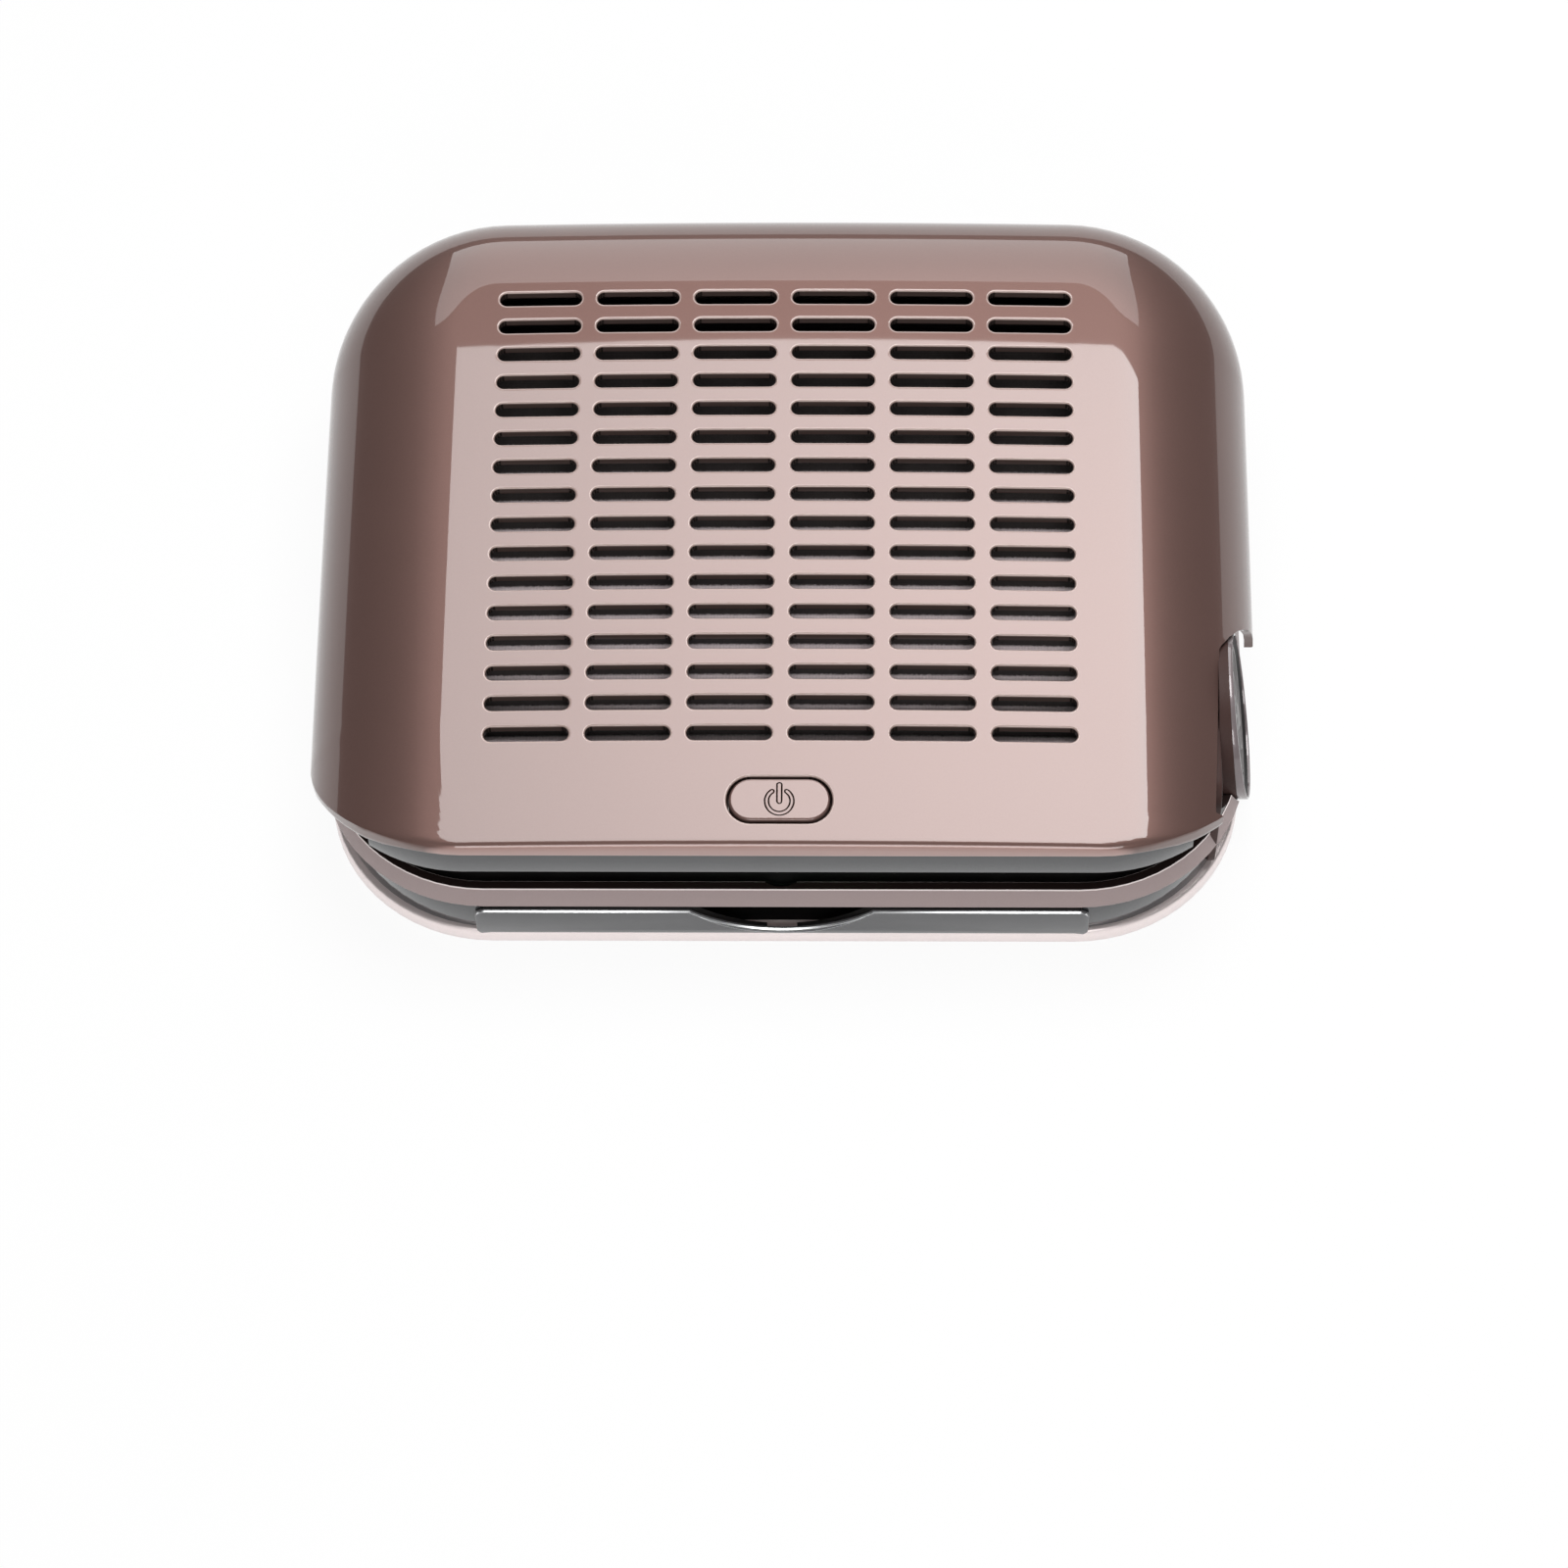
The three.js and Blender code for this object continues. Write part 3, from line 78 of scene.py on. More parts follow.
# Hinge, and the exhaust with its round face, its panel and the window in the cover round both
HINGE_Y, HINGE_Z, HINGE_X = BACK + 0.3, 27.65, 62
KNUCKLE, KNUCKLE_GAP = 3.4, 0.5
KNUCKLE_SPANS = {"cover": [(-6, 6)], "base": [(-14.5, -6.5), (6.5, 14.5)]}
VENT_Y, VENT_Z = FRONT + 57.3, 30.4
COLLAR, BORE, COLLAR_ROOT = 23.6, 21.2, 118.1
PANEL_FACE = 122.3
PANEL_FRONT, PANEL_BACK, PANEL_TOP, PANEL_ROUND = -36.5, 30.5, 48.2, 7
VENT_DEPTH, GRILLE_DEPTH = 8.3, 5.2
VENT_FACE, GRILLE_BACK = PANEL_FACE + VENT_DEPTH, PANEL_FACE + GRILLE_DEPTH
VENT_LEAN, VENT_SET_IN = 0.17, 0.6
WINDOW_FRONT, WINDOW_BACK, WINDOW_TOP, WINDOW_BOTTOM = -41.5, 24.6, 24.8, 15
WINDOW_INNER, WINDOW_SLANT = 120.1, 3.1

# Base: outlines as half width, front, back, front corner and back corner; levels as bottom and top
RING = (131.2, FRONT + 0.7, BACK - 0.3, 48, 52)
PLINTH = (128.2, FRONT + 1.4, BACK - 4, 47.5, 52)
PLATE = (130.2, FRONT, BACK - 1.5, 48, 53)
RING_LEVELS, PLINTH_LEVELS, PLATE_LEVELS = (20.3, 27.5), (7.3, 20.0), (1.5, 7.2)
FEET = [(side * 104.8, y, 0) for side in (-1, 1) for y in (FRONT + 30, BACK - 30)]
SCREWS = [(side * 112, y, 0) for side in (-1, 1) for y in (FRONT + 42, BACK - 42)]
SOCKET_X, SOCKET_ROUND = 70, 4.5
MOUTH_HALF = 84.3
DRAWER_ROUND, DRAWER_SET_IN = 3.0, 0.8
NOTCH_HALF, NOTCH_DEPTH = 25.8, 10.2
# The lower bright arc under the notch: partly a real edge, partly a painted highlight.
HIGHLIGHT_TRIM_HALF, HIGHLIGHT_TRIM_DEPTH = 25.4, 12.3


# Shapes in numbers

def node_level(name, end):
    """Height in millimetres of the bottom, 0, or the top, 1, of a CAD node."""
    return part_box(name)[end].z / MM


def round_off(distance, radius):
    """How far a rounded edge has dropped at a distance inside its outline."""
    run = np.clip(radius - distance, 0, radius)
    return radius - np.sqrt(radius * radius - run * run)


def inside_distance(along_x, along_y, corner):
    """Distance inside a rounded corner, from how far a point lies past the corner's centre."""
    reach = np.hypot(np.maximum(along_x, 0), np.maximum(along_y, 0))
    return corner - reach - np.minimum(np.maximum(along_x, along_y), 0)


def corner_distance(x, y, wall):
    """Distance inside the cover's outline."""
    front = np.asarray(y) < 0
    corner = np.where(front, FRONT_CORNER, BACK_CORNER) - wall
    along_y = np.where(front, FRONT + wall + corner - y, y - (BACK - wall - corner))
    return inside_distance(np.abs(x) - (HALF - wall - corner), along_y, corner)


def roll_distance(x, y, wall):
    """Distance to the rolled sides and back; the front has no roll."""
    corner = BACK_CORNER - wall
    return inside_distance(np.abs(x) - (HALF - wall - corner), y - (BACK - wall - corner), corner)


def skin(x, y, front=FRONT, depth=DEPTH, low=FRONT_HEIGHT, high=BACK_HEIGHT, bow=BOW, crown=CROWN, half=HALF):
    """Height of the curved top, for numbers and for the values of node trees alike."""
    share = (y - front) / depth
    return low + (high - low) * share + 4 * bow * share * (1 - share) - crown * (x / half) ** 2


def lip_radius(wall):
    return max(LIP - wall, 0.3)


def cover_height(x, y, wall=0.0):
    """Height of the cover's skin, or of one that lies a wall's thickness inside it."""
    roll = round_off(roll_distance(x, y, wall), ROLL - wall)
    lip = round_off(corner_distance(x, y, wall), lip_radius(wall))
    return skin(x, y) - wall - (roll ** 4 + lip ** 4) ** 0.25


def arc(centre, radius, start, sweep, steps):
    """Points on an arc, from a start and through a sweep, both in degrees."""
    angles = [math.radians(start + sweep * step / steps) for step in range(steps + 1)]
    return [(centre[0] + radius * math.cos(angle), centre[1] + radius * math.sin(angle)) for angle in angles]


def stadium_point(step, sides, length, width, grow):
    """Point on a slot outline; sides = (nx, ny) are the steps of the cell round it."""
    nx, ny = sides
    bend = 2 * ny
    straight = nx - ny
    step = (step - (nx - ny // 2)) % (2 * (bend + straight))
    half = (length - width) / 2
    radius = width / 2 + grow
    flip = 1 if step < bend + straight else -1
    step = step % (bend + straight)
    if step <= bend:
        angle = math.pi * (step / bend - 0.5)
        return flip * (half + radius * math.cos(angle)), flip * radius * math.sin(angle)
    share = (step - bend) / straight
    return flip * half * (1 - 2 * share), flip * radius


def cell_border(x0, x1, y0, y1, sides):
    """Points round a cell, in steps along X and along Y."""
    corners = [(x0, y0), (x1, y0), (x1, y1), (x0, y1)]
    points = []
    for i, (x, y) in enumerate(corners):
        end_x, end_y = corners[(i + 1) % 4]
        steps = sides[i % 2]
        points += [(x + (end_x - x) * k / steps, y + (end_y - y) * k / steps) for k in range(steps)]
    return points


def cell_rings(x0, x1, y0, y1, sides, centre, length, width, edge):
    """Rings from a cell's border in to its rounded hole, each point as (x, y, drop, inner x, inner y)."""
    border = cell_border(x0, x1, y0, y1, sides)
    rings = [[(x, y, 0, x, y) for x, y in border]]
    profile = [(edge * 1.4, 0)]
    for degrees in (0, 22, 45, 67, 90):
        angle = math.radians(degrees)
        profile.append((edge * (1 - math.sin(angle)), edge * (1 - math.cos(angle))))
    for grow, drop in profile:
        hole = (stadium_point(step, sides, length, width, grow) for step in range(len(border)))
        hole = [(x + centre[0], y + centre[1]) for x, y in hole]
        rings.append([(*point, drop, *point) for point in hole])
    return rings


# Meshes

def make_mesh(name, points, faces, scale=MM):
    mesh = bpy.data.meshes.new(name)
    mesh.from_pydata([tuple(float(v) * scale for v in p) for p in points], [], faces)
    return mesh


def settle(mesh, merge=2e-6, sharp=40):
    """Merges doubles, turns faces outwards and shades smoothly up to an angle."""
    work = bmesh.new()
    work.from_mesh(mesh)
    bmesh.ops.remove_doubles(work, verts=work.verts, dist=merge)
    bmesh.ops.dissolve_degenerate(work, edges=work.edges, dist=merge)
    bmesh.ops.recalc_face_normals(work, faces=work.faces)
    for face in work.faces:
        face.smooth = True
    work.to_mesh(mesh)
    work.free()
    mesh.set_sharp_from_angle(angle=math.radians(sharp))
    return mesh


def place(name, mesh, body=None, replaces=(), material=None):
    thing = bpy.data.objects.new(name, mesh)
    bpy.context.scene.collection.objects.link(thing)
    if material:
        mesh.materials.clear()
        mesh.materials.append(material)
    if body:
        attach(thing, body)
    if replaces:
        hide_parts(*replaces)
    return thing


def joined(*meshes):
    """One mesh from several, each still with its own points."""
    work = bmesh.new()
    for mesh in meshes:
        work.from_mesh(mesh)
    result = bpy.data.meshes.new(meshes[0].name)
    work.to_mesh(result)
    work.free()
    return result


def evaluated(thing):
    """The mesh that an object's modifiers make."""
    bpy.context.view_layer.update()
    graph = bpy.context.evaluated_depsgraph_get()
    return bpy.data.meshes.new_from_object(thing.evaluated_get(graph))


def carved(mesh, *cutters):
    """A mesh with other closed meshes cut out of it."""
    blank = place("blank", mesh)
    tool = place("tool", joined(*cutters))
    modifier = blank.modifiers.new("carve", "BOOLEAN")
    modifier.operation = "DIFFERENCE"
    modifier.solver = "EXACT"
    modifier.use_self = len(cutters) > 1
    modifier.object = tool
    result = evaluated(blank)
    bpy.data.objects.remove(blank)
    bpy.data.objects.remove(tool)
    return result


def loft(rings, closed_ends=True, loop=False):
    """Quads between rings of points; the ends are filled, or the rings run round in a loop."""
    count = len(rings[0])
    points = [point for ring in rings for point in ring]
    faces = []
    spans = len(rings) if loop else len(rings) - 1
    for level in range(spans):
        low = level * count
        high = ((level + 1) % len(rings)) * count
        for step in range(count):
            beside = (step + 1) % count
            faces.append((low + step, low + beside, high + beside, high + step))
    if closed_ends and not loop:
        faces.append(tuple(range(count))[::-1])
        faces.append(tuple(range((len(rings) - 1) * count, len(rings) * count)))
    return points, faces


def block(low, high):
    """A box between two opposite corners."""
    plan = [(low[0], low[1]), (high[0], low[1]), (high[0], high[1]), (low[0], high[1])]
    return make_mesh("block", *loft([[(x, y, z) for x, y in plan] for z in (low[2], high[2])]))


AXES = {"x": lambda a, b, c: (c, a, b), "y": lambda a, b, c: (b, c, a), "z": lambda a, b, c: (a, b, c)}


def turned(profile, centre, axis, steps=48, bored=False):
    """A turned solid: profile pairs are (radius, place along the axis)."""
    order = AXES[axis]
    middle = order(*centre)
    rings = []
    for radius, along in profile:
        ring = []
        for step in range(steps):
            angle = 2 * math.pi * step / steps
            point = order(radius * math.cos(angle), radius * math.sin(angle), along)
            ring.append(tuple(p + m for p, m in zip(point, middle)))
        rings.append(ring)
    return make_mesh("turned", *loft(rings, loop=bored))


def soft_rod(radius, low, high, centre, axis="z", edge=0.3, steps=32):
    profile = [(radius - edge, low), (radius - edge * 0.3, low + edge * 0.3), (radius, low + edge)]
    profile += [(radius, high - edge), (radius - edge * 0.3, high - edge * 0.3), (radius - edge, high)]
    return turned(profile, centre, axis, steps)


def eased(profile, radius):
    """A closed section with its corners rounded in three steps."""
    eased_points = []
    for i, corner in enumerate(profile):
        corner = np.array(corner, float)
        before, after = profile[i - 1] - corner, profile[(i + 1) % len(profile)] - corner
        before_length, after_length = np.linalg.norm(before), np.linalg.norm(after)
        before, after = before / before_length, after / after_length
        turn = math.acos(max(-1, min(1, float(before @ after))))
        reach = min(radius / math.tan(turn / 2), 0.45 * before_length, 0.45 * after_length)
        start, end = corner + before * reach, corner + after * reach
        for share in (0, 1 / 3, 2 / 3, 1):
            bend = (1 - share) ** 2 * start + 2 * share * (1 - share) * corner + share ** 2 * end
            eased_points.append(tuple(bend))
    return eased_points


def rounded_plan(left, right, low, high, near, far, inset, steps):
    """Points round a rectangle with rounded corners that is drawn in by an inset, from its low right corner."""
    points = []
    corners = [(1, -1, low, near), (1, 1, high, far), (-1, 1, high, far), (-1, -1, low, near)]
    for index, (side_x, side_y, edge, corner) in enumerate(corners):
        centre = ((right if side_x > 0 else left) - side_x * corner, edge - side_y * corner)
        points += arc(centre, corner - inset, 90 * (index - 1), 90, steps)
    return points


def outline_ring(half, front, back, near, far, inset, z):
    """Points round an outline of the base."""
    return [(x, y, z) for x, y in rounded_plan(-half, half, front, back, near, far, inset, 16)]


def swept(outline, profile):
    """A closed section of (inset, z) pairs, swept round an outline."""
    return make_mesh("swept", *loft([outline_ring(*outline, inset, z) for inset, z in profile], loop=True))


# Node trees

def math_method(operation, swapped=False):
    """An operator that adds one Math node."""
    if swapped:
        return lambda self, other: self.tree.math(operation, other, self)
    return lambda self, other: self.tree.math(operation, self, other)


class Value:
    """A node's output that Python's operators add Math nodes to."""

    def __init__(self, tree, socket):
        self.tree, self.socket = tree, socket

    __add__, __radd__ = math_method("ADD"), math_method("ADD", True)
    __sub__, __rsub__ = math_method("SUBTRACT"), math_method("SUBTRACT", True)
    __mul__, __rmul__ = math_method("MULTIPLY"), math_method("MULTIPLY", True)
    __truediv__, __pow__ = math_method("DIVIDE"), math_method("POWER")
    __gt__, __lt__ = math_method("GREATER_THAN"), math_method("LESS_THAN")


class Tree:
    """A node tree with one way to add a node."""

    def __init__(self, tree):
        self.tree = tree

    def add(self, kind, inputs=None, output=0, **settings):
        """A node with its settings and its inputs, which are plain values or other nodes' outputs."""
        node = self.tree.nodes.new(kind)
        for name, value in settings.items():
            setattr(node, name, value)
        for name, value in (inputs or {}).items():
            if isinstance(value, Value):
                self.tree.links.new(value.socket, node.inputs[name])
            else:
                node.inputs[name].default_value = value
        return Value(self, node.outputs[output])

    def math(self, operation, *values):
        return self.add("ShaderNodeMath", dict(enumerate(values)), operation=operation)

    def smooth(self, value, low, high):
        """A smooth step from 0 at the low value to 1 at the high one."""
        return self.add("ShaderNodeMapRange", {"Value": value, "From Min": low, "From Max": high},
                        interpolation_type="SMOOTHSTEP")

    def parts(self, vector, *axes):
        return [self.add("ShaderNodeSeparateXYZ", {"Vector": vector}, axis) for axis in axes]

    def rays(self):
        """The Light Path node's outputs by name."""
        path = self.add("ShaderNodeLightPath").socket.node
        return {socket.name: Value(self, socket) for socket in path.outputs}


class Finish(Tree):
    """A material built round one Principled shader."""

    def __init__(self, name, **fixed):
        self.material = bpy.data.materials.new(name)
        self.material.use_nodes = True
        super().__init__(self.material.node_tree)
        self.shader = self.tree.nodes["Principled BSDF"]
        self.place = self.add("ShaderNodeTexCoord", output=3)
        for socket, value in fixed.items():
            value = (*value, 1) if isinstance(value, tuple) else value
            self.shader.inputs[socket.replace("_", " ")].default_value = value

    def feed(self, socket, value):
        self.tree.links.new(value.socket, self.shader.inputs[socket])

    def spot(self, *axes):
        """The place on the piece along some axes, in millimetres."""
        return [part / MM for part in self.parts(self.place, *axes)]

    def noise(self, size, detail=2.0):
        return self.add("ShaderNodeTexNoise", {"Vector": self.place, "Scale": 1 / (size * MM), "Detail": detail})

    def cells(self, size, output):
        return self.add("ShaderNodeTexVoronoi", {"Vector": self.place, "Scale": 1 / (size * MM)}, output)

    def threads(self, pitch):
        """Height of a plain weave, from 0 to 1."""
        across, along = (self.math("SINE", part * (2 * math.pi / pitch)) for part in self.spot(0, 1))
        return 0.5 + 0.25 * (across + along)

    def mixed(self, share, shade, colour):
        """A shade or a plain colour that gives way to another plain colour, by a share."""
        shade = (*shade, 1) if isinstance(shade, tuple) else shade
        return self.add("ShaderNodeMix", {"Factor": share, 6: shade, 7: (*colour, 1)}, 2, data_type="RGBA")

    def varied(self, share, colour, low, high=1.0):
        """A colour between a darker and a paler version of itself, by a share."""
        dark, pale = (tuple(min(c * level, 1) for c in colour) for level in (low, high))
        return self.mixed(share, dark, pale)

    def done(self, shade, rough, height=None, depth=0.0):
        """Feeds colour, roughness and a bump of a depth in millimetres, and gives the material."""
        self.feed("Base Color", shade)
        self.feed("Roughness", rough)
        if height is not None:
            self.feed("Normal", self.add("ShaderNodeBump", {"Height": height, "Distance": depth * MM}))
        return self.material


# Finishes

def hole_distance(paint, x, y):
    """Distance in millimetres to the edge of the nearest slot, or of the button's hole."""
    def stadium(across, along, length, width):
        reach = paint.math("MAXIMUM", paint.math("ABSOLUTE", across) - (length - width) / 2, 0.0)
        return (reach ** 2.0 + along ** 2.0) ** 0.5 - width / 2

    column = paint.math("MODULO", x + 2 * FIELD_HALF, COLUMN_PITCH) - COLUMN_PITCH / 2
    row = paint.math("MODULO", y - FIELD_FRONT + 20 * ROW_PITCH, ROW_PITCH) - ROW_PITCH / 2
    slot = stadium(column, row, SLOT_LENGTH, SLOT_WIDTH)
    button = stadium(x, y - BUTTON_Y, *BUTTON_HOLE)
    wide = (paint.math("ABSOLUTE", x) < FIELD_HALF) * (y > FIELD_FRONT) * (y < FIELD_BACK)
    return wide * slot + (1 - wide) * button


def metal_paint(name, colour, metal=0.45, rough=0.4, coat=1.0, holes=False, edge=None, shaded=None):
    """Fine metallic paint under clear coat.

    holes: pale rims round the slots and the button's hole as painted highlights, their walls painted dark as
    shade, and a pale nose along the front edge as a painted highlight; edge: the height of a flat top painted
    dark as shade, with a pale line under it as a painted highlight; shaded: half width and front of what is
    painted dark as the shade behind the drawer's notch.
    """
    paint = Finish(name, Specular_IOR_Level=0.0, Coat_Weight=coat, Coat_Roughness=0.02, Coat_IOR=1.5)
    flake = paint.add("ShaderNodeSeparateColor", {"Color": paint.cells(0.3, 1)}, 0)
    cloud = paint.noise(30, 3)
    x, y, z = paint.spot(0, 1, 2)
    shade = paint.varied(0.4 * flake + 0.6 * cloud, colour, 0.94, 1.06)
    shine = metal + 0.06 * (flake - 0.5)
    if holes:
        gap = hole_distance(paint, x, y)
        # Painted highlight: pale rims round the slots and the button's hole.
        rim = 1 - paint.smooth(paint.math("ABSOLUTE", gap - 0.28), 0.1, 0.4)
        # Painted shade: the walls inside the slots and the hole are painted dark.
        wall = 1 - paint.smooth(gap, -0.03, 0.05)
        # Painted highlight: a pale nose along the cover's front edge.
        nose = 1 - paint.smooth(y, FRONT + 0.3, FRONT + 1.3)
        shade = paint.mixed(rim, shade, (0.36, 0.27, 0.245))
        shade = paint.mixed(nose, shade, (0.4, 0.26, 0.235))
        shade = paint.mixed(wall, shade, (0.02, 0.014, 0.012))
        shine = shine * (1 - 0.7 * rim) * (1 - 0.8 * wall)
    if edge:
        # Painted highlight: a pale line just under the belt's top edge; painted shade: the flat top above it is dark.
        line = paint.smooth(z, edge - 0.45, edge - 0.3) * (z < edge - 0.03)
        ledge = paint.smooth(z, edge - 0.03, edge - 0.02)
        shade = paint.mixed(line, shade, (0.95, 0.86, 0.84))
        shade = paint.mixed(ledge, shade, (0.02, 0.013, 0.012))
        shine = shine * (1 - 0.7 * line) * (1 - 0.7 * ledge)
    if shaded:
        # Painted shade: the plate behind the drawer's notch is painted near black.
        inside = (paint.math("ABSOLUTE", x) < shaded[0]) * (y > shaded[1]) * (y < 0)
        shade = paint.mixed(inside, shade, (0.012, 0.011, 0.011))
    paint.feed("Metallic", shine)
    return paint.done(shade, rough + 0.05 * flake + 0.03 * cloud)


def smoked_gloss(name, colour, roughness=0.07):
    gloss = Finish(name, Coat_Weight=0.35, Coat_Roughness=0.03, IOR=1.5)
    cloud = gloss.noise(16, 3)
    return gloss.done(gloss.varied(cloud, colour, 0.88, 1.12), roughness + 0.04 * gloss.noise(1.2), cloud, 0.004)


def moulded(name, colour, roughness=0.5, grain=0.35, depth=0.015, gloss=0.5):
    plastic = Finish(name, IOR=1.48, Specular_IOR_Level=gloss)
    leather, cloud = plastic.cells(grain, 0), plastic.noise(9, 3)
    shade = plastic.varied(cloud, colour, 0.85, 1.2)
    return plastic.done(shade, roughness + 0.12 * leather + 0.06 * cloud, leather, depth)


def filter_weave():
    """The filter's pale sheet: threads both ways, with loose fibre over them."""
    sheet = Finish("filter_sheet", Sheen_Weight=0.25, Sheen_Roughness=0.5)
    weave, fibre = sheet.threads(0.5), sheet.noise(0.6, 4)
    mix = 0.45 * weave + 0.35 * fibre + 0.2 * sheet.noise(11, 4)
    shade = sheet.varied(mix, (0.86, 0.85, 0.82), 0.9)
    return sheet.done(shade, 0.8 + 0.15 * fibre, 0.7 * weave + 0.3 * fibre, 0.08)


def dusty_screen_with_painted_light():
    """The dark screen behind the slots, painted near black as shade, with a pale strip of painted light
    under the front of each slot where light through the slot falls, fading towards the back.
    """
    screen = Finish("dust_screen", Sheen_Weight=0.1, Sheen_Roughness=0.5)
    x, y = screen.spot(0, 1)
    weave, dust = screen.threads(0.9), screen.noise(0.7, 4)
    depth = skin(x, y) - node_level("dust_screen", 1)
    row = screen.math("MODULO", y - 0.58 * depth - FIELD_FRONT + 20 * ROW_PITCH, ROW_PITCH)
    edge = (ROW_PITCH - SLOT_WIDTH) / 2
    # Painted light: the pale strip where light through each slot falls on the screen, its edge ragged by the grain
    # noise.
    line = screen.smooth(row, edge - 1.2, edge - 0.4) * (1 - screen.smooth(row + 0.7 * dust, edge + 0.7, edge + 1.6))
    # The painted strip of light fades towards the back.
    front = 1 - screen.smooth(y, -40, 75)
    pale = screen.mixed(0.3 * weave + 0.7 * dust, (0.4, 0.33, 0.34), (0.85, 0.74, 0.76))
    # Painted shade: off the strips the screen is painted near black.
    shade = screen.mixed(1 - line * (0.12 + 0.88 * front), pale, (0.01, 0.0055, 0.005))
    return screen.done(shade, 0.75 + 0.2 * dust, 0.6 * weave + 0.4 * dust, 0.1)


def bright_metal(name, colour, roughness=0.22):
    """Metal with fine lines drawn along it."""
    metal = Finish(name, Metallic=1.0)
    drawn = metal.add("ShaderNodeMapping", {"Vector": metal.place, "Scale": (1.0, 1.0, 12.0)})
    lines = metal.add("ShaderNodeTexNoise", {"Vector": drawn, "Scale": 2500.0, "Detail": 2.0})
    return metal.done(metal.varied(lines, colour, 0.85), roughness + 0.15 * lines, lines, 0.003)


def circuit_board():
    board = Finish("board_lacquer", Coat_Weight=0.4, Coat_Roughness=0.1)
    tracks = board.add("ShaderNodeTexBrick", {
        "Vector": board.place, "Scale": 160.0, "Mortar Size": 0.03,
        "Color1": (0.02, 0.1, 0.04, 1), "Color2": (0.03, 0.13, 0.05, 1), "Mortar": (0.08, 0.25, 0.1, 1)}, offset=0.3)
    return board.done(tracks, 0.3 + 0.2 * board.noise(2))


def wound_copper():
    coil = Finish("stator_winding", Metallic=0.9)
    wire = 0.5 + 0.5 * coil.math("SINE", coil.spot(2)[0] * (2 * math.pi / 0.5))
    return coil.done(coil.mixed(wire, (0.22, 0.08, 0.03), (0.7, 0.34, 0.16)), 0.5 - 0.2 * wire, wire, 0.12)


cover_paint = metal_paint("cover_paint", (0.15, 0.089, 0.078), holes=True)
button_paint = metal_paint("button_paint", (0.155, 0.093, 0.082))
sign_line = metal_paint("sign_line", (0.014, 0.008, 0.007), metal=0.1, coat=0.0)
belt_paint = metal_paint("belt_paint", (0.36, 0.285, 0.28), metal=0.2, coat=0.5, edge=27.5)
rim_paint = metal_paint("rim_paint", (0.93, 0.83, 0.82), metal=0.6, rough=0.35, coat=0.3, shaded=(84, FRONT + 4))
vent_rim = metal_paint("vent_rim", (0.2, 0.17, 0.175), metal=0.3, rough=0.3)
smoked = smoked_gloss("smoked_gloss", (0.045, 0.046, 0.049))
drawer_gloss = smoked_gloss("drawer_gloss", (0.1, 0.1, 0.104), 0.1)
panel_brown = moulded("panel_brown", (0.05, 0.027, 0.024), 0.4, 0.5, 0.004, 0.12)
inner_black = moulded("inner_black", (0.018, 0.017, 0.017))
tray_black = moulded("tray_black", (0.03, 0.029, 0.028), 0.42)
grille_grey = moulded("grille_grey", (0.2, 0.19, 0.19), 0.3, 0.5, 0.005)
# Near-black ring face in the vent: painted shade for the recess between rim and grille.
face_black = moulded("face_black", (0.006, 0.005, 0.005), 0.45, 0.5, 0.004)
rubber = moulded("soft_rubber", (0.03, 0.03, 0.03), 0.75, 0.25, 0.02)
screen_sheet = dusty_screen_with_painted_light()
filter_sheet = filter_weave()
steel = bright_metal("bright_steel", (0.62, 0.62, 0.63))
# Bright metal for the drawer's strips, partly a real edge and partly a painted highlight along its glossy black
# edges.
bright_trim = bright_metal("bright_trim", (0.92, 0.93, 0.94), 0.25)
copper = wound_copper()
board_green = circuit_board()


# Cover

class Shell:
    """Outer and inner skins with the same faces, closed along their free edges."""

    def __init__(self):
        self.index, self.outer, self.inner, self.faces, self.caps = {}, [], [], [], []

    def point(self, outer, inner):
        key = tuple(round(float(v) * 97.3) for v in outer)
        if key not in self.index:
            self.index[key] = len(self.outer)
            self.outer.append(outer)
            self.inner.append(inner)
        return self.index[key]

    def face(self, *corners):
        kept = [c for i, c in enumerate(corners) if c != corners[i - 1]]
        if len(kept) > 2:
            self.faces.append(tuple(kept))

    def mesh(self, stays_open):
        count = len(self.outer)
        used = {}
        for face in self.faces:
            for a, b in zip(face, face[1:] + face[:1]):
                key = (min(a, b), max(a, b))
                used[key] = used.get(key, 0) + 1
        faces = list(self.faces)
        for high, path in self.caps:
            for a, b in zip([high] + path, path):
                used[(min(a, b), max(a, b))] = 2
            faces.append(tuple([high] + path + [count + c for c in path[:0:-1]] + [count + high]))
        faces += [tuple(count + c for c in face[::-1]) for face in self.faces]
        for (a, b), uses in used.items():
            if uses == 1 and not (stays_open(self.outer[a]) and stays_open(self.outer[b])):
                faces.append((a, b, count + b, count + a))
        return make_mesh("shell", list(self.outer) + list(self.inner), faces)


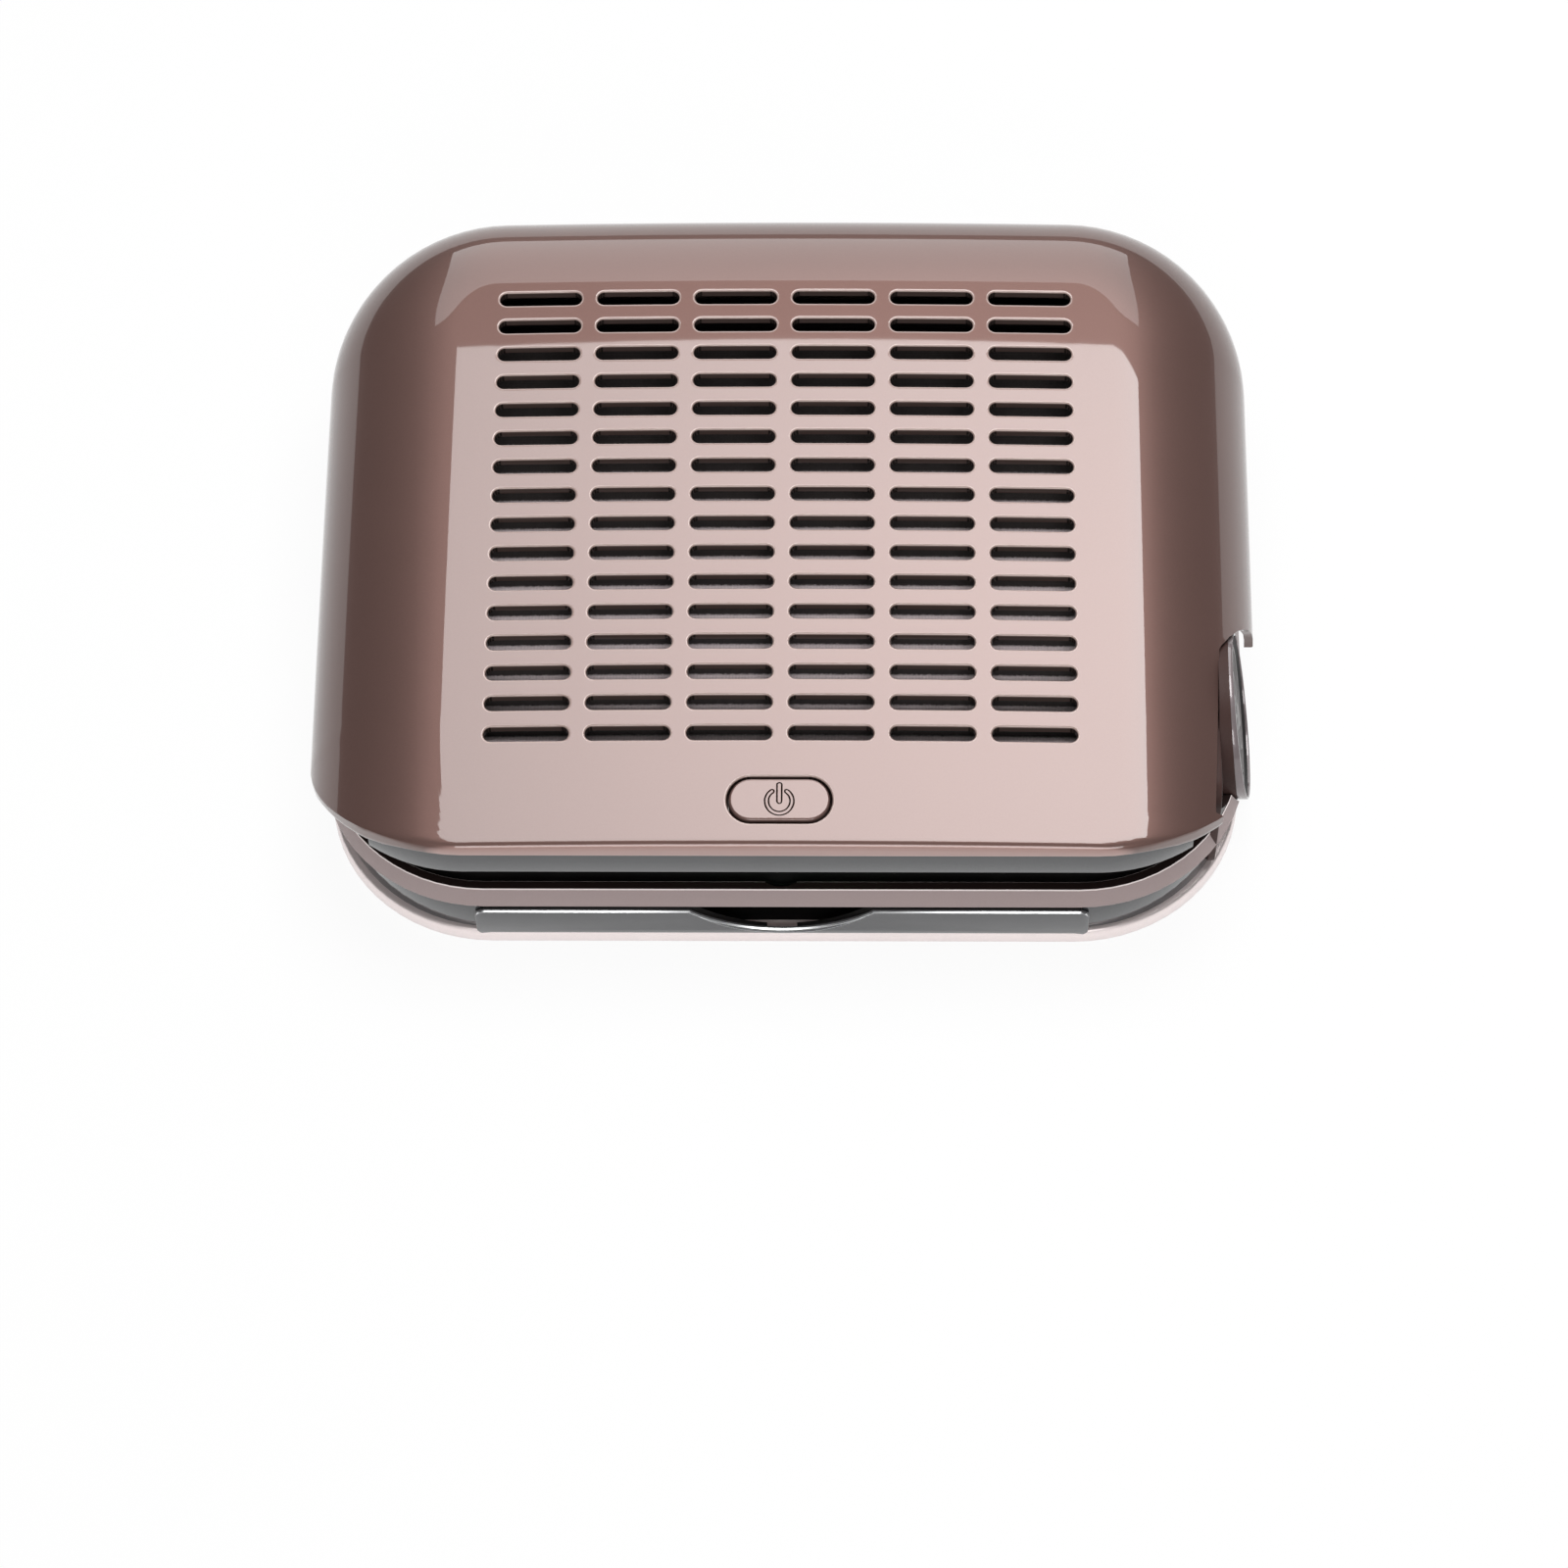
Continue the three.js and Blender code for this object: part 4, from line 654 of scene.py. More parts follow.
def cover_columns():
    """Columns round the outline: centre, direction, corner radius, front part or not, and inner point."""
    columns = []
    steps_x, steps_side = 8 * SLOT_COLUMNS, 4 * SLOT_ROWS + 8
    rows = [*np.linspace(APRON_FRONT, FIELD_FRONT, 9), *np.linspace(FIELD_FRONT, FIELD_BACK, 4 * SLOT_ROWS + 1)[1:]]
    ends = {-1: (FRONT_CORNER, FRONT + FRONT_CORNER, APRON_FRONT), 1: (BACK_CORNER, BACK - BACK_CORNER, FIELD_BACK)}

    def straight_x(side_y, order):
        corner, edge, inner_y = ends[side_y]
        for step in order:
            share = 2 * step / steps_x - 1
            columns.append((share * (HALF - corner), edge, 0, side_y, corner, side_y < 0,
                            share * FIELD_HALF, inner_y))

    def straight_y(side_x, order):
        for step in order:
            share = step / steps_side
            y = FRONT + FRONT_CORNER + share * (DEPTH - FRONT_CORNER - BACK_CORNER)
            corner = FRONT_CORNER if share < 0.5 else BACK_CORNER
            columns.append((side_x * (HALF - corner), y, side_x, 0, corner, False,
                            side_x * FIELD_HALF, rows[step]))

    def bend(side_x, side_y, angles):
        corner, edge, inner_y = ends[side_y]
        for angle in map(math.radians, angles):
            columns.append((side_x * (HALF - corner), edge, side_x * math.cos(angle), side_y * math.sin(angle),
                            corner, side_y < 0, side_x * FIELD_HALF, inner_y))

    near = [84.4, 78.8, 73.1, 67.5, 61.9, BAND_END, 50.6, 45, 39.4, 33.8, 28.1, 22.5, 16.9, 11.2, 5.6]
    far = [90 * step / 16 for step in range(1, 16)]
    straight_x(-1, range(steps_x + 1))
    bend(1, -1, near)
    straight_y(1, range(steps_side + 1))
    bend(1, 1, far)
    straight_x(1, range(steps_x, -1, -1))
    bend(-1, 1, far[::-1])
    straight_y(-1, range(steps_side, -1, -1))
    bend(-1, -1, near[::-1])
    return columns


def bend_angle(column):
    """Degrees round a front corner from its side, 90 along the front, or 0 elsewhere."""
    across, ahead, front = column[2], column[3], column[5]
    return math.degrees(math.atan2(-ahead, abs(across))) if front else 0.0


def edge_level(degrees, top):
    """Height of the paint's lower edge, and of the mouth's edge under it."""
    lip = float(np.interp(degrees, *LIP_LEVELS))
    return min(lip, top - 0.45), float(np.interp(degrees, *MOUTH_LEVELS))


def cover_shell():
    """The cover without its slots: rolled edge, front lip, the recess for the band, and the mouth under it."""
    shell = Shell()
    columns = cover_columns()
    roll_rows, apron_rows, fall_rows, halvings = 14, 4, 4, 40
    no_lip = 99

    def at(column, along_x, along_y, wall):
        x, y, dx, dy, corner = column[:5]
        return x + (corner - wall - along_x) * dx, y + (corner - wall - along_y) * dy

    def climb(column, wall, angle):
        """Insets along X and Y, and the point, at an angle up the rolled edge of one column."""
        side = (ROLL - wall) * (1 - math.cos(angle))
        nose = lip_radius(wall) * 0.98 * (1 - math.cos(angle)) if column[5] else side
        x, y = at(column, side, nose, wall)
        return (side, nose), (x, y, float(cover_height(x, y, wall)))

    def rise(column, wall, level):
        """Points up the edge from a level, and the insets where they start."""
        low, high = 0.0, math.pi / 2
        if climb(column, wall, 0.0)[1][2] < level:
            for _ in range(halvings):
                middle = (low + high) / 2
                low, high = (middle, high) if climb(column, wall, middle)[1][2] < level else (low, middle)
        spread = [low + (math.pi / 2 - low) * k / roll_rows for k in range(roll_rows + 1)]
        return [climb(column, wall, angle)[1] for angle in spread], climb(column, wall, low)[0]

    strips, paths = [], []
    for column in columns:
        degrees = bend_angle(column)
        banded = degrees > BAND_END - 0.1
        top = float(cover_height(*at(column, 0, 0, 0.0)))
        lip, free = edge_level(degrees, top if banded else no_lip)
        bottom = lip if banded else max(free, COVER_BOTTOM)
        outer, set_in = rise(column, 0.0, bottom + 1.0)
        inner, inner_in = rise(column, WALL, bottom + 0.5)
        strip = [shell.point(o, i) for o, i in zip(outer, inner)]
        inner_x, inner_y = column[6:]
        for k in range(1, apron_rows + 1):
            share = k / (apron_rows + 1)
            x = outer[-1][0] * (1 - share) + inner_x * share
            y = outer[-1][1] * (1 - share) + inner_y * share
            strip.append(shell.point((x, y, float(cover_height(x, y))), (x, y, float(skin(x, y)) - WALL)))
        height = float(skin(inner_x, inner_y))
        strip.append(shell.point((inner_x, inner_y, height), (inner_x, inner_y, height - WALL)))
        strips.append(strip)

        def curtain(rows):
            path = []
            x, y = at(column, *inner_in, WALL)
            for inset, z in rows:
                place_x, place_y = at(column, inset + set_in[0], inset + set_in[1], 0)
                path.append(shell.point((place_x, place_y, z), (x, y, min(z, inner[0][2]))))
            return path

        top = outer[0][2]
        fall = [(0, top + (bottom + 0.4 - top) * k / fall_rows) for k in range(1, fall_rows + 1)]
        fall += [(0.12, bottom + 0.12), (0.4, bottom), (BAND_RECESS, bottom)]
        recess = [(BAND_RECESS, MOUTH_TOP + 0.4), (BAND_RECESS + 0.12, MOUTH_TOP + 0.12), (CURTAIN, MOUTH_TOP)]
        edge = abs(degrees - BAND_END) < 0.1
        plain_path = curtain(fall + [(CURTAIN, bottom)]) if edge or not banded else None
        paths.append((plain_path, curtain(fall + recess) if banded else None))
        if edge:
            shell.caps.append((plain_path[-1], paths[-1][1][len(fall) - 1:]))

    count = len(columns)
    for i in range(count):
        j = (i + 1) % count
        for low in range(len(strips[i]) - 1):
            shell.face(strips[i][low], strips[j][low], strips[j][low + 1], strips[i][low + 1])
        kind = 1 if paths[i][1] and paths[j][1] else 0
        left, right = [strips[i][0]] + paths[i][kind], [strips[j][0]] + paths[j][kind]
        for low in range(len(left) - 1):
            shell.face(left[low + 1], right[low + 1], right[low], left[low])

    def on_field(point):
        return abs(point[0]) < FIELD_HALF + 0.01 and FIELD_FRONT - 0.01 < point[1] < FIELD_BACK + 0.01

    add_apron(shell)
    return shell.mesh(on_field)


def add_apron(shell):
    """The plain skin between the slots and the front, with the button's hole."""
    def corner(x, y):
        z = float(skin(x, y))
        return shell.point((x, y, z), (x, y, z - WALL))

    columns = np.linspace(-FIELD_HALF, FIELD_HALF, 8 * SLOT_COLUMNS + 1)
    rows = np.linspace(APRON_FRONT, FIELD_FRONT, 9)
    beside_button = [*range(16), *range(32, 8 * SLOT_COLUMNS)]
    for i in beside_button:
        for j in range(8):
            shell.face(corner(columns[i], rows[j]), corner(columns[i + 1], rows[j]),
                       corner(columns[i + 1], rows[j + 1]), corner(columns[i], rows[j + 1]))
    rings = cell_rings(-COLUMN_PITCH, COLUMN_PITCH, APRON_FRONT, FIELD_FRONT, (16, 8), (0, BUTTON_Y),
                       *BUTTON_HOLE, 0.5)
    indexed = [[shell.point((x, y, float(skin(x, y)) - drop), (ix, iy, float(skin(ix, iy)) - WALL))
                for x, y, drop, ix, iy in ring] for ring in rings]
    for outside, inside in zip(indexed, indexed[1:]):
        for step in range(len(outside)):
            beside = (step + 1) % len(outside)
            shell.face(outside[step], outside[beside], inside[beside], inside[step])


def slot_tile():
    """One slot with its rounded edge, wall and underside, flat about the origin."""
    x, y = COLUMN_PITCH / 2, ROW_PITCH / 2
    rings = cell_rings(-x, x, -y, y, (8, 4), (0, 0), SLOT_LENGTH, SLOT_WIDTH, SLOT_ROUND)
    levels = [[(px, py, -drop) for px, py, drop, _, _ in ring] for ring in rings]
    levels.append([(px, py, -WALL) for px, py, _ in levels[-1]])
    levels.append([(px, py, -WALL) for px, py, _ in levels[0]])
    points, faces = loft(levels, closed_ends=False)
    return make_mesh("slot_tile", points, faces)


def node_group(name, inputs):
    """A Geometry Nodes tree, its inputs by name, and their identifiers."""
    group = bpy.data.node_groups.new(name, "GeometryNodeTree")
    tree = Tree(group)
    group.interface.new_socket("Result", in_out="OUTPUT", socket_type="NodeSocketGeometry")
    keys = {label: group.interface.new_socket(label, in_out="INPUT", socket_type="NodeSocket" + kind).identifier
            for label, kind in inputs.items()}
    start = group.nodes.new("NodeGroupInput")
    return tree, {socket.name: Value(tree, socket) for socket in start.outputs if socket.name}, keys


def run_tree(tree, result, mesh, values):
    """Ends a Geometry Nodes tree, and gives what it makes of a mesh."""
    end = tree.tree.nodes.new("NodeGroupOutput")
    tree.tree.links.new(result.socket, end.inputs[0])
    thing = place("tree_input", mesh)
    modifier = thing.modifiers.new("nodes", "NODES")
    modifier.node_group = tree.tree
    for key, value in values.items():
        modifier[key] = value
    made = evaluated(thing)
    bpy.data.objects.remove(thing)
    return made


def slot_field(material):
    """Geometry Nodes: the tile repeated in columns and rows, and lifted onto the curved skin."""
    curve = {"Front": FRONT, "Depth": DEPTH, "Front Height": FRONT_HEIGHT, "Back Height": BACK_HEIGHT,
             "Bow": BOW, "Crown": CROWN, "Half Width": HALF}
    lengths = {"Column Pitch": COLUMN_PITCH, "Row Pitch": ROW_PITCH,
               "Field Middle": (FIELD_FRONT + FIELD_BACK) / 2, **curve}
    tree, given, keys = node_group("slot_field", {
        "Tile": "Geometry", "Columns": "Int", "Rows": "Int", **{label: "Float" for label in lengths}})
    values = {keys["Columns"]: SLOT_COLUMNS, keys["Rows"]: SLOT_ROWS}
    values.update({keys[label]: length * MM for label, length in lengths.items()})
    grid = tree.add("GeometryNodeMeshGrid", {
        "Size X": given["Column Pitch"] * (given["Columns"] - 1.0),
        "Size Y": given["Row Pitch"] * (given["Rows"] - 1.0),
        "Vertices X": given["Columns"], "Vertices Y": given["Rows"]})
    middle = tree.add("ShaderNodeCombineXYZ", {"Y": given["Field Middle"]})
    grid = tree.add("GeometryNodeSetPosition", {"Geometry": grid, "Offset": middle})
    tiles = tree.add("GeometryNodeInstanceOnPoints", {"Points": grid, "Instance": given["Tile"]})
    tiles = tree.add("GeometryNodeRealizeInstances", {"Geometry": tiles})
    x, y = tree.parts(tree.add("GeometryNodeInputPosition"), 0, 1)
    rise = tree.add("ShaderNodeCombineXYZ", {"Z": skin(x, y, *(given[label] for label in curve))})
    tiles = tree.add("GeometryNodeSetPosition", {"Geometry": tiles, "Offset": rise})
    tiles = tree.add("GeometryNodeMergeByDistance", {"Geometry": tiles, "Distance": 2e-6})
    tiles = tree.add("GeometryNodeSetMaterial", {"Geometry": tiles, "Material": material})
    return run_tree(tree, tiles, slot_tile(), values)


def repeated(name, mesh, places, material):
    """Geometry Nodes: one small piece on each of a set of points, turned about Z by a step."""
    tree, given, keys = node_group(name, {"Places": "Geometry", "Turn": "Float", "Piece": "Object"})
    piece = tree.add("GeometryNodeObjectInfo", {"Object": given["Piece"]}, 4)
    angle = tree.add("ShaderNodeCombineXYZ", {"Z": given["Turn"] * tree.add("GeometryNodeInputIndex")})
    pieces = tree.add("GeometryNodeInstanceOnPoints", {
        "Points": given["Places"], "Instance": piece, "Rotation": angle})
    pieces = tree.add("GeometryNodeRealizeInstances", {"Geometry": pieces})
    pieces = tree.add("GeometryNodeSetMaterial", {"Geometry": pieces, "Material": material})
    pattern = place(name + "_pattern", mesh)
    made = run_tree(tree, pieces, make_mesh("places", places, []), {keys["Turn"]: 0.7, keys["Piece"]: pattern})
    bpy.data.objects.remove(pattern)
    return made


def vent_window():
    """What is cut from the cover round the exhaust: it runs out at the cover's lower edge."""
    near, far, top = VENT_Y + WINDOW_FRONT, VENT_Y + WINDOW_BACK, VENT_Z + WINDOW_TOP
    section = [(near, WINDOW_BOTTOM), (far, WINDOW_BOTTOM)]
    section += arc((VENT_Y, top - WINDOW_BACK), WINDOW_BACK, 0, 90, 8)
    section += arc((near + PANEL_ROUND, top - PANEL_ROUND), PANEL_ROUND, 90, 90, 8)
    inner = [(WINDOW_INNER + WINDOW_SLANT * (y - near) / (far - near), y, z) for y, z in section]
    return make_mesh("vent_window", *loft([inner, [(HALF + 4, y, z) for y, z in section]]))


def knuckle_blocks(owner, radius, margin):
    """Both hinges' knuckles on the cover or on the base, longer at each end by a margin."""
    return [soft_rod(radius, middle + low - margin, middle + high + margin, (HINGE_Y, HINGE_Z, 0), "x", 0.25)
            for middle in (-HINGE_X, HINGE_X) for low, high in KNUCKLE_SPANS[owner]]


def tube_mesh(outer, inner, low, high, centre, axis="z", steps=48):
    edge = 0.2
    profile = [(outer - edge, low), (outer, low + edge), (outer, high - edge), (outer - edge, high),
               (inner + edge, high), (inner, high - edge), (inner, low + edge), (inner + edge, low)]
    return turned(profile, centre, axis, steps, bored=True)


def button_ring(size, grow, z=0):
    """Points round the button or its hole."""
    points = (stadium_point(step, (16, 8), *size, grow) for step in range(48))
    return [(x, y + BUTTON_Y, z) for x, y in points]


def cover_inside():
    """Posts, pockets and the button's guide under the cover."""
    def underside(x):
        return float(skin(x, BUTTON_Y)) - WALL + 0.6

    low, high = float(skin(0, BUTTON_Y)) - WALL - GUIDE_DEPTH, underside(0)
    section = [(0.0, high), (0.0, low + 0.2), (0.2, low), (1.3, low), (1.5, low + 0.2), (1.5, high)]
    pieces = [make_mesh("guide", *loft([button_ring(BUTTON_HOLE, grow, z) for grow, z in section], loop=True))]
    board, magnet = node_level("control_board", 1), node_level("cover_magnet_left", 0)
    pieces += [soft_rod(3.0, board + 0.3, underside(x), (x, BUTTON_Y, 0)) for x in BOARD_POSTS]
    pieces += [tube_mesh(4.4, 3.3, magnet - 0.3, underside(x), (x, BUTTON_Y, 0)) for x in MAGNET_POSTS]
    return pieces


def make_cover():
    """Shell, slots, posts and knuckles as one solid, with the vent's window and the hinges' room cut out."""
    field = slot_field(cover_paint)
    shell = joined(cover_shell(), field)
    settle(shell, 8e-6)
    cuts = [vent_window()] + knuckle_blocks("base", KNUCKLE + KNUCKLE_GAP, KNUCKLE_GAP)
    shell = carved(shell, *cuts)
    whole = joined(shell, *cover_inside(), *knuckle_blocks("cover", KNUCKLE, 0))
    settle(whole, 1e-6, 42)
    place("cover_shell", whole, "cover", ["top_cover"], cover_paint)


def make_band():
    """The gloss band in the recess under the cover's lip: round one corner, along the front, round the other."""
    start = BAND_END + 0.5
    angles = [start + (90 - start) * k / 8 for k in range(9)]
    stops = [(1, degrees) for degrees in angles] + [(across, 90) for across in np.linspace(1, -1, 25)[1:-1]]
    stops += [(-1, degrees) for degrees in angles[::-1]]
    rings = []
    for across, degrees in stops:
        angle = math.radians(degrees)
        cx, cy = across * (HALF - FRONT_CORNER), FRONT + FRONT_CORNER
        dx, dy = math.copysign(math.cos(angle), across), -math.sin(angle)
        x, y = cx + FRONT_CORNER * dx, cy + FRONT_CORNER * dy
        lip, _ = edge_level(degrees, float(cover_height(x, y)))
        section = eased([(0.35, MOUTH_TOP), (0.35, lip - 0.15), (BAND_RECESS - 0.1, lip - 0.15),
                         (BAND_RECESS - 0.1, MOUTH_TOP)], 0.25)
        rings.append([(cx + (FRONT_CORNER - inset) * dx, cy + (FRONT_CORNER - inset) * dy, z)
                      for inset, z in section])
    mesh = settle(make_mesh("front_band", *loft(rings)), sharp=50)
    place("gloss_band", mesh, "cover", ["front_band"], smoked)


def power_sign():
    """The generic power sign as closed loops: an open ring round an upright bar, both as outlines."""
    outer, inner, gap = 4.0, 2.95, 35
    middle, end = (outer + inner) / 2, (outer - inner) / 2
    sweep = 360 - 2 * gap
    ring = arc((0, 0), outer, 90 + gap, sweep, 40)
    ring += arc(arc((0, 0), middle, 90 - gap, 0, 1)[0], end, 90 - gap, 180, 6)[1:-1]
    ring += arc((0, 0), inner, 90 - gap, -sweep, 40)
    ring += arc(arc((0, 0), middle, 90 + gap, 0, 1)[0], end, 270 + gap, 180, 6)[1:-1]
    bar = arc((0, 4.7), 0.65, 0, 180, 6) + arc((0, 0), 0.65, 180, 180, 6)
    return [[(x, BUTTON_Y - 0.5 + y) for x, y in loop] for loop in (ring, bar)]


def sign_strip(loop, width):
    """A thin dark line along a closed loop in plan, let into the button's top."""
    points = np.array(loop)
    ahead = np.roll(points, -1, axis=0) - np.roll(points, 1, axis=0)
    ahead /= np.linalg.norm(ahead, axis=1)[:, None]
    side = np.stack([ahead[:, 1], -ahead[:, 0]], 1) * width / 2
    rings = []
    for (x, y), (sx, sy) in zip(points, side):
        top = float(skin(x, y)) + BUTTON_PROUD
        rings.append([(x + sx * share, y + sy * share, top + rise)
                      for share, rise in ((-1, 0.02), (1, 0.02), (1, -0.25), (-1, -0.25))])
    return settle(make_mesh("sign_strip", *loft(rings, loop=True)))


def make_button():
    low = node_level("power_button", 0)
    flange = float(skin(0, BUTTON_Y)) - WALL - GUIDE_DEPTH - 0.6
    rings = [button_ring(BUTTON_SIZE, grow, z) for grow, z in (
        (-5.9, low + 1.6), (1.0, low + 1.6), (1.2, low + 1.8), (1.2, flange - 0.2), (1.0, flange), (0.0, flange))]
    rises = []
    for degrees in (0, 30, 60, 90):
        angle = math.radians(degrees)
        rises.append((BUTTON_EDGE * (math.cos(angle) - 1), BUTTON_PROUD - BUTTON_EDGE * (1 - math.sin(angle))))
    rises += [(grow, BUTTON_PROUD) for grow in (-0.8, -2.0, -3.2, -4.4, -5.6)]
    for grow, rise in rises:
        rings.append([(x, y, float(skin(x, y)) + rise) for x, y, _ in button_ring(BUTTON_SIZE, grow)])
    cap = settle(make_mesh("button", *loft(rings)), 1e-6)
    stem = soft_rod(2.0, low, low + 2.0, (0, BUTTON_Y, 0))
    whole = settle(joined(cap, stem), 1e-6, 35)
    place("button_cap", whole, "button", ["power_button"], button_paint)
    lines = joined(*(sign_strip(loop, 0.48) for loop in power_sign()))
    place("power_sign", lines, "button", material=sign_line)


# Base

def collar_space(gap):
    """The room that the vent's collar takes up in the base."""
    return soft_rod(COLLAR + gap, COLLAR_ROOT, HALF + 2, (VENT_Y, VENT_Z, 0), "x", 0.05, 72)


def make_ring():
    """The belt, with its ledge inside and a small finger notch in the middle of its front."""
    low, high = RING_LEVELS
    ledge, ledge_height = 4.6, 2.3
    section = eased([(0.4, low), (0.0, low + 0.6), (2.0, high), (ledge, high), (ledge, low + ledge_height),
                     (8.6, low + ledge_height), (8.6, low)], 0.35)
    belt = settle(swept(RING, section))
    oval = turned([(1, low + ledge_height + 0.3), (1, 30.4)], (0, 0, 0), "z", 48)
    half_width, half_depth, into_ledge = 6, 5, 1.7
    middle = RING[1] + ledge - into_ledge + half_depth
    oval.transform(Matrix.Translation((0, middle * MM, 0)) @ Matrix.Diagonal((half_width, half_depth, 1, 1)))
    belt = carved(belt, collar_space(0.6), oval, *knuckle_blocks("cover", KNUCKLE + KNUCKLE_GAP, KNUCKLE_GAP))
    whole = settle(joined(belt, *knuckle_blocks("base", KNUCKLE, 0)), 1e-6)
    place("belt_ring", whole, "base", ["base_ring"], belt_paint)


def make_plinth():
    low, high = PLINTH_LEVELS
    wall = settle(swept(PLINTH, eased([(0, low), (0, high), (WALL, high), (WALL, low)], 0.3)))
    opening = block((-MOUTH_HALF, FRONT - 2, low - 2), (MOUTH_HALF, FRONT + 17, high + 2))
    socket_low, socket_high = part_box("dc_socket")
    level = (socket_low.z + socket_high.z) / 2 / MM
    socket = turned([(SOCKET_ROUND, BACK - 12), (SOCKET_ROUND, BACK + 4)], (level, SOCKET_X, 0), "y", 40)
    wall = carved(wall, opening, socket, collar_space(0.6))
    bosses = []
    for x, y, _ in SCREWS:
        bosses.append(soft_rod(4.0, low, high, (x, y, 0)))
        outer = math.copysign(PLINTH[0] - 2, x)
        bosses.append(block((min(x, outer), y - 1.4, low), (max(x, outer), y + 1.4, high)))
    whole = settle(joined(wall, *bosses), 1e-6)
    place("plinth_wall", whole, "base", ["plinth_band"], smoked)


def make_plate():
    low, high = PLATE_LEVELS
    section = [(30, low), (0.5, low), (0.15, low + 0.15), (0, low + 0.5), (0.15, high - 1.4), (0.4, high - 0.5),
               (0.8, high - 0.1), (1.2, high), (30, high)]
    plate = settle(make_mesh("plate", *loft([outline_ring(*PLATE, inset, z) for inset, z in section])))
    cuts = [turned([(radius, low - 2), (radius, low + depth)], spot, "z", steps)
            for places, radius, depth, steps in ((FEET, 7.3, 1.2, 40), (SCREWS, 3.0, 1.9, 32)) for spot in places]
    plate = settle(carved(plate, *cuts), 1e-6)
    place("rim_plate", plate, "base", ["base_plate"], rim_paint)


def make_feet_and_screws():
    foot = turned([(5.6, 0), (6.5, 0.25), (7.0, 0.9), (7.0, 2.7)], (0, 0, 0), "z", 40)
    names = ["foot_front_left", "foot_front_right", "foot_back_left", "foot_back_right"]
    feet = repeated("feet", settle(foot), FEET, rubber)
    place("rubber_feet", settle(feet), "base", names, rubber)
    low = node_level("case_screw_front_left", 0)
    head = turned([(1.9, low), (2.5, low + 0.25), (2.7, low + 0.7), (2.7, low + 1.3), (1.4, low + 1.3),
                   (1.4, low + 11.6), (1.0, low + 12)], (0, 0, 0), "z", 32)
    slots = [block((-x, -y, low - 1), (x, y, low + 0.7)) for x, y in ((1.7, 0.35), (0.35, 1.7))]
    head = carved(settle(head), *slots)
    names = [name.replace("foot", "case_screw") for name in names]
    screws = repeated("case_screws", head, SCREWS, steel)
    place("case_screws", settle(screws), "base", names, steel)


# Exhaust

def tilted(mesh):
    """Leans what stands out from the vent panel, so that its face turns a little upwards."""
    for vertex in mesh.vertices:
        share = min(max((vertex.co.x / MM - PANEL_FACE) / VENT_DEPTH, 0), 1)
        vertex.co.x -= share * (VENT_LEAN * (vertex.co.z - VENT_Z * MM) + VENT_SET_IN * MM)
    return mesh


def vent_turned(section):
    """A section of (radius, x) pairs turned about the vent's axis, and leant with its face."""
    return tilted(turned(section, (VENT_Y, VENT_Z, 0), "x", 96, bored=True))


def make_side_panel():
    low = node_level("side_panel", 0)
    edges = (VENT_Y + PANEL_FRONT, VENT_Y + PANEL_BACK, low, PANEL_TOP, PANEL_ROUND, PANEL_ROUND)
    rings = [[(PANEL_FACE - depth, y, z) for y, z in rounded_plan(*edges, inset, 8)]
             for inset, depth in ((0.3, 2.2), (0, 1.9), (0, 0.4), (0.12, 0.12), (0.4, 0))]
    panel = settle(make_mesh("panel", *loft(rings)))
    panel = carved(panel, soft_rod(BORE, 115, HALF, (VENT_Y, VENT_Z, 0), "x", 0.05, 96))
    base = PANEL_FACE - 0.3
    collar = vent_turned([(COLLAR, base), (COLLAR, VENT_FACE - 2.65), (BORE, VENT_FACE - 2.65), (BORE, base)])
    whole = settle(joined(panel, collar), 1e-6)
    place("vent_panel", whole, "base", ["side_panel"], panel_brown)


def make_vent_rims():
    """The pale rim on the vent's collar, and a black ring between it and the grille, painted shade for the recess
    there.
    """
    rim = vent_turned([(COLLAR - inset, VENT_FACE - depth) for inset, depth in (
        (0, 2.6), (0, 0.4), (0.1, 0.1), (0.4, 0), (0.7, 0.2), (0.7, 2.6))])
    place("vent_ring", settle(rim, 1e-6), "base", material=vent_rim)
    black = vent_turned([(COLLAR - inset, VENT_FACE - depth) for inset, depth in (
        (0.8, 2.6), (0.8, 0.5), (2.0, 1.2), (2.0, 2.6))])
    place("vent_face", settle(black, 1e-6), "base", material=face_black)


def spoke_mesh(turn):
    """One curved spoke with a rounded front."""
    inner, outer, sweep, half_width = 3.8, 20.2, 52, 0.75
    rings = []
    for step in range(9):
        share = step / 8
        radius = inner + (outer - inner) * share
        angle = turn + math.radians(sweep) * share * share
        ring = []
        for side, depth in ((-1, 0), (-1, 1.6), (-0.5, 2.0), (0.5, 2.0), (1, 1.6), (1, 0)):
            across = angle + side * half_width / radius
            ring.append((GRILLE_BACK + depth, VENT_Y + radius * math.cos(across), VENT_Z + radius * math.sin(across)))
        rings.append(ring)
    return make_mesh("spoke", *loft(rings))


def make_grille():
    face = GRILLE_BACK
    spokes = [settle(spoke_mesh(2 * math.pi * i / 9)) for i in range(9)]
    rim = tube_mesh(20.9, 19.2, face, face + 2.0, (VENT_Y, VENT_Z, 0), "x", 72)
    hub = turned([(4.6, face), (4.6, face + 1.4), (4.2, face + 1.9), (2.5, face + 2.3), (0.01, face + 2.4)],
                 (VENT_Y, VENT_Z, 0), "x", 40)
    whole = settle(tilted(joined(rim, settle(hub), *spokes)), 1e-7)
    place("vent_grille", whole, "base", ["exhaust_grille"], grille_grey)


# Drawer

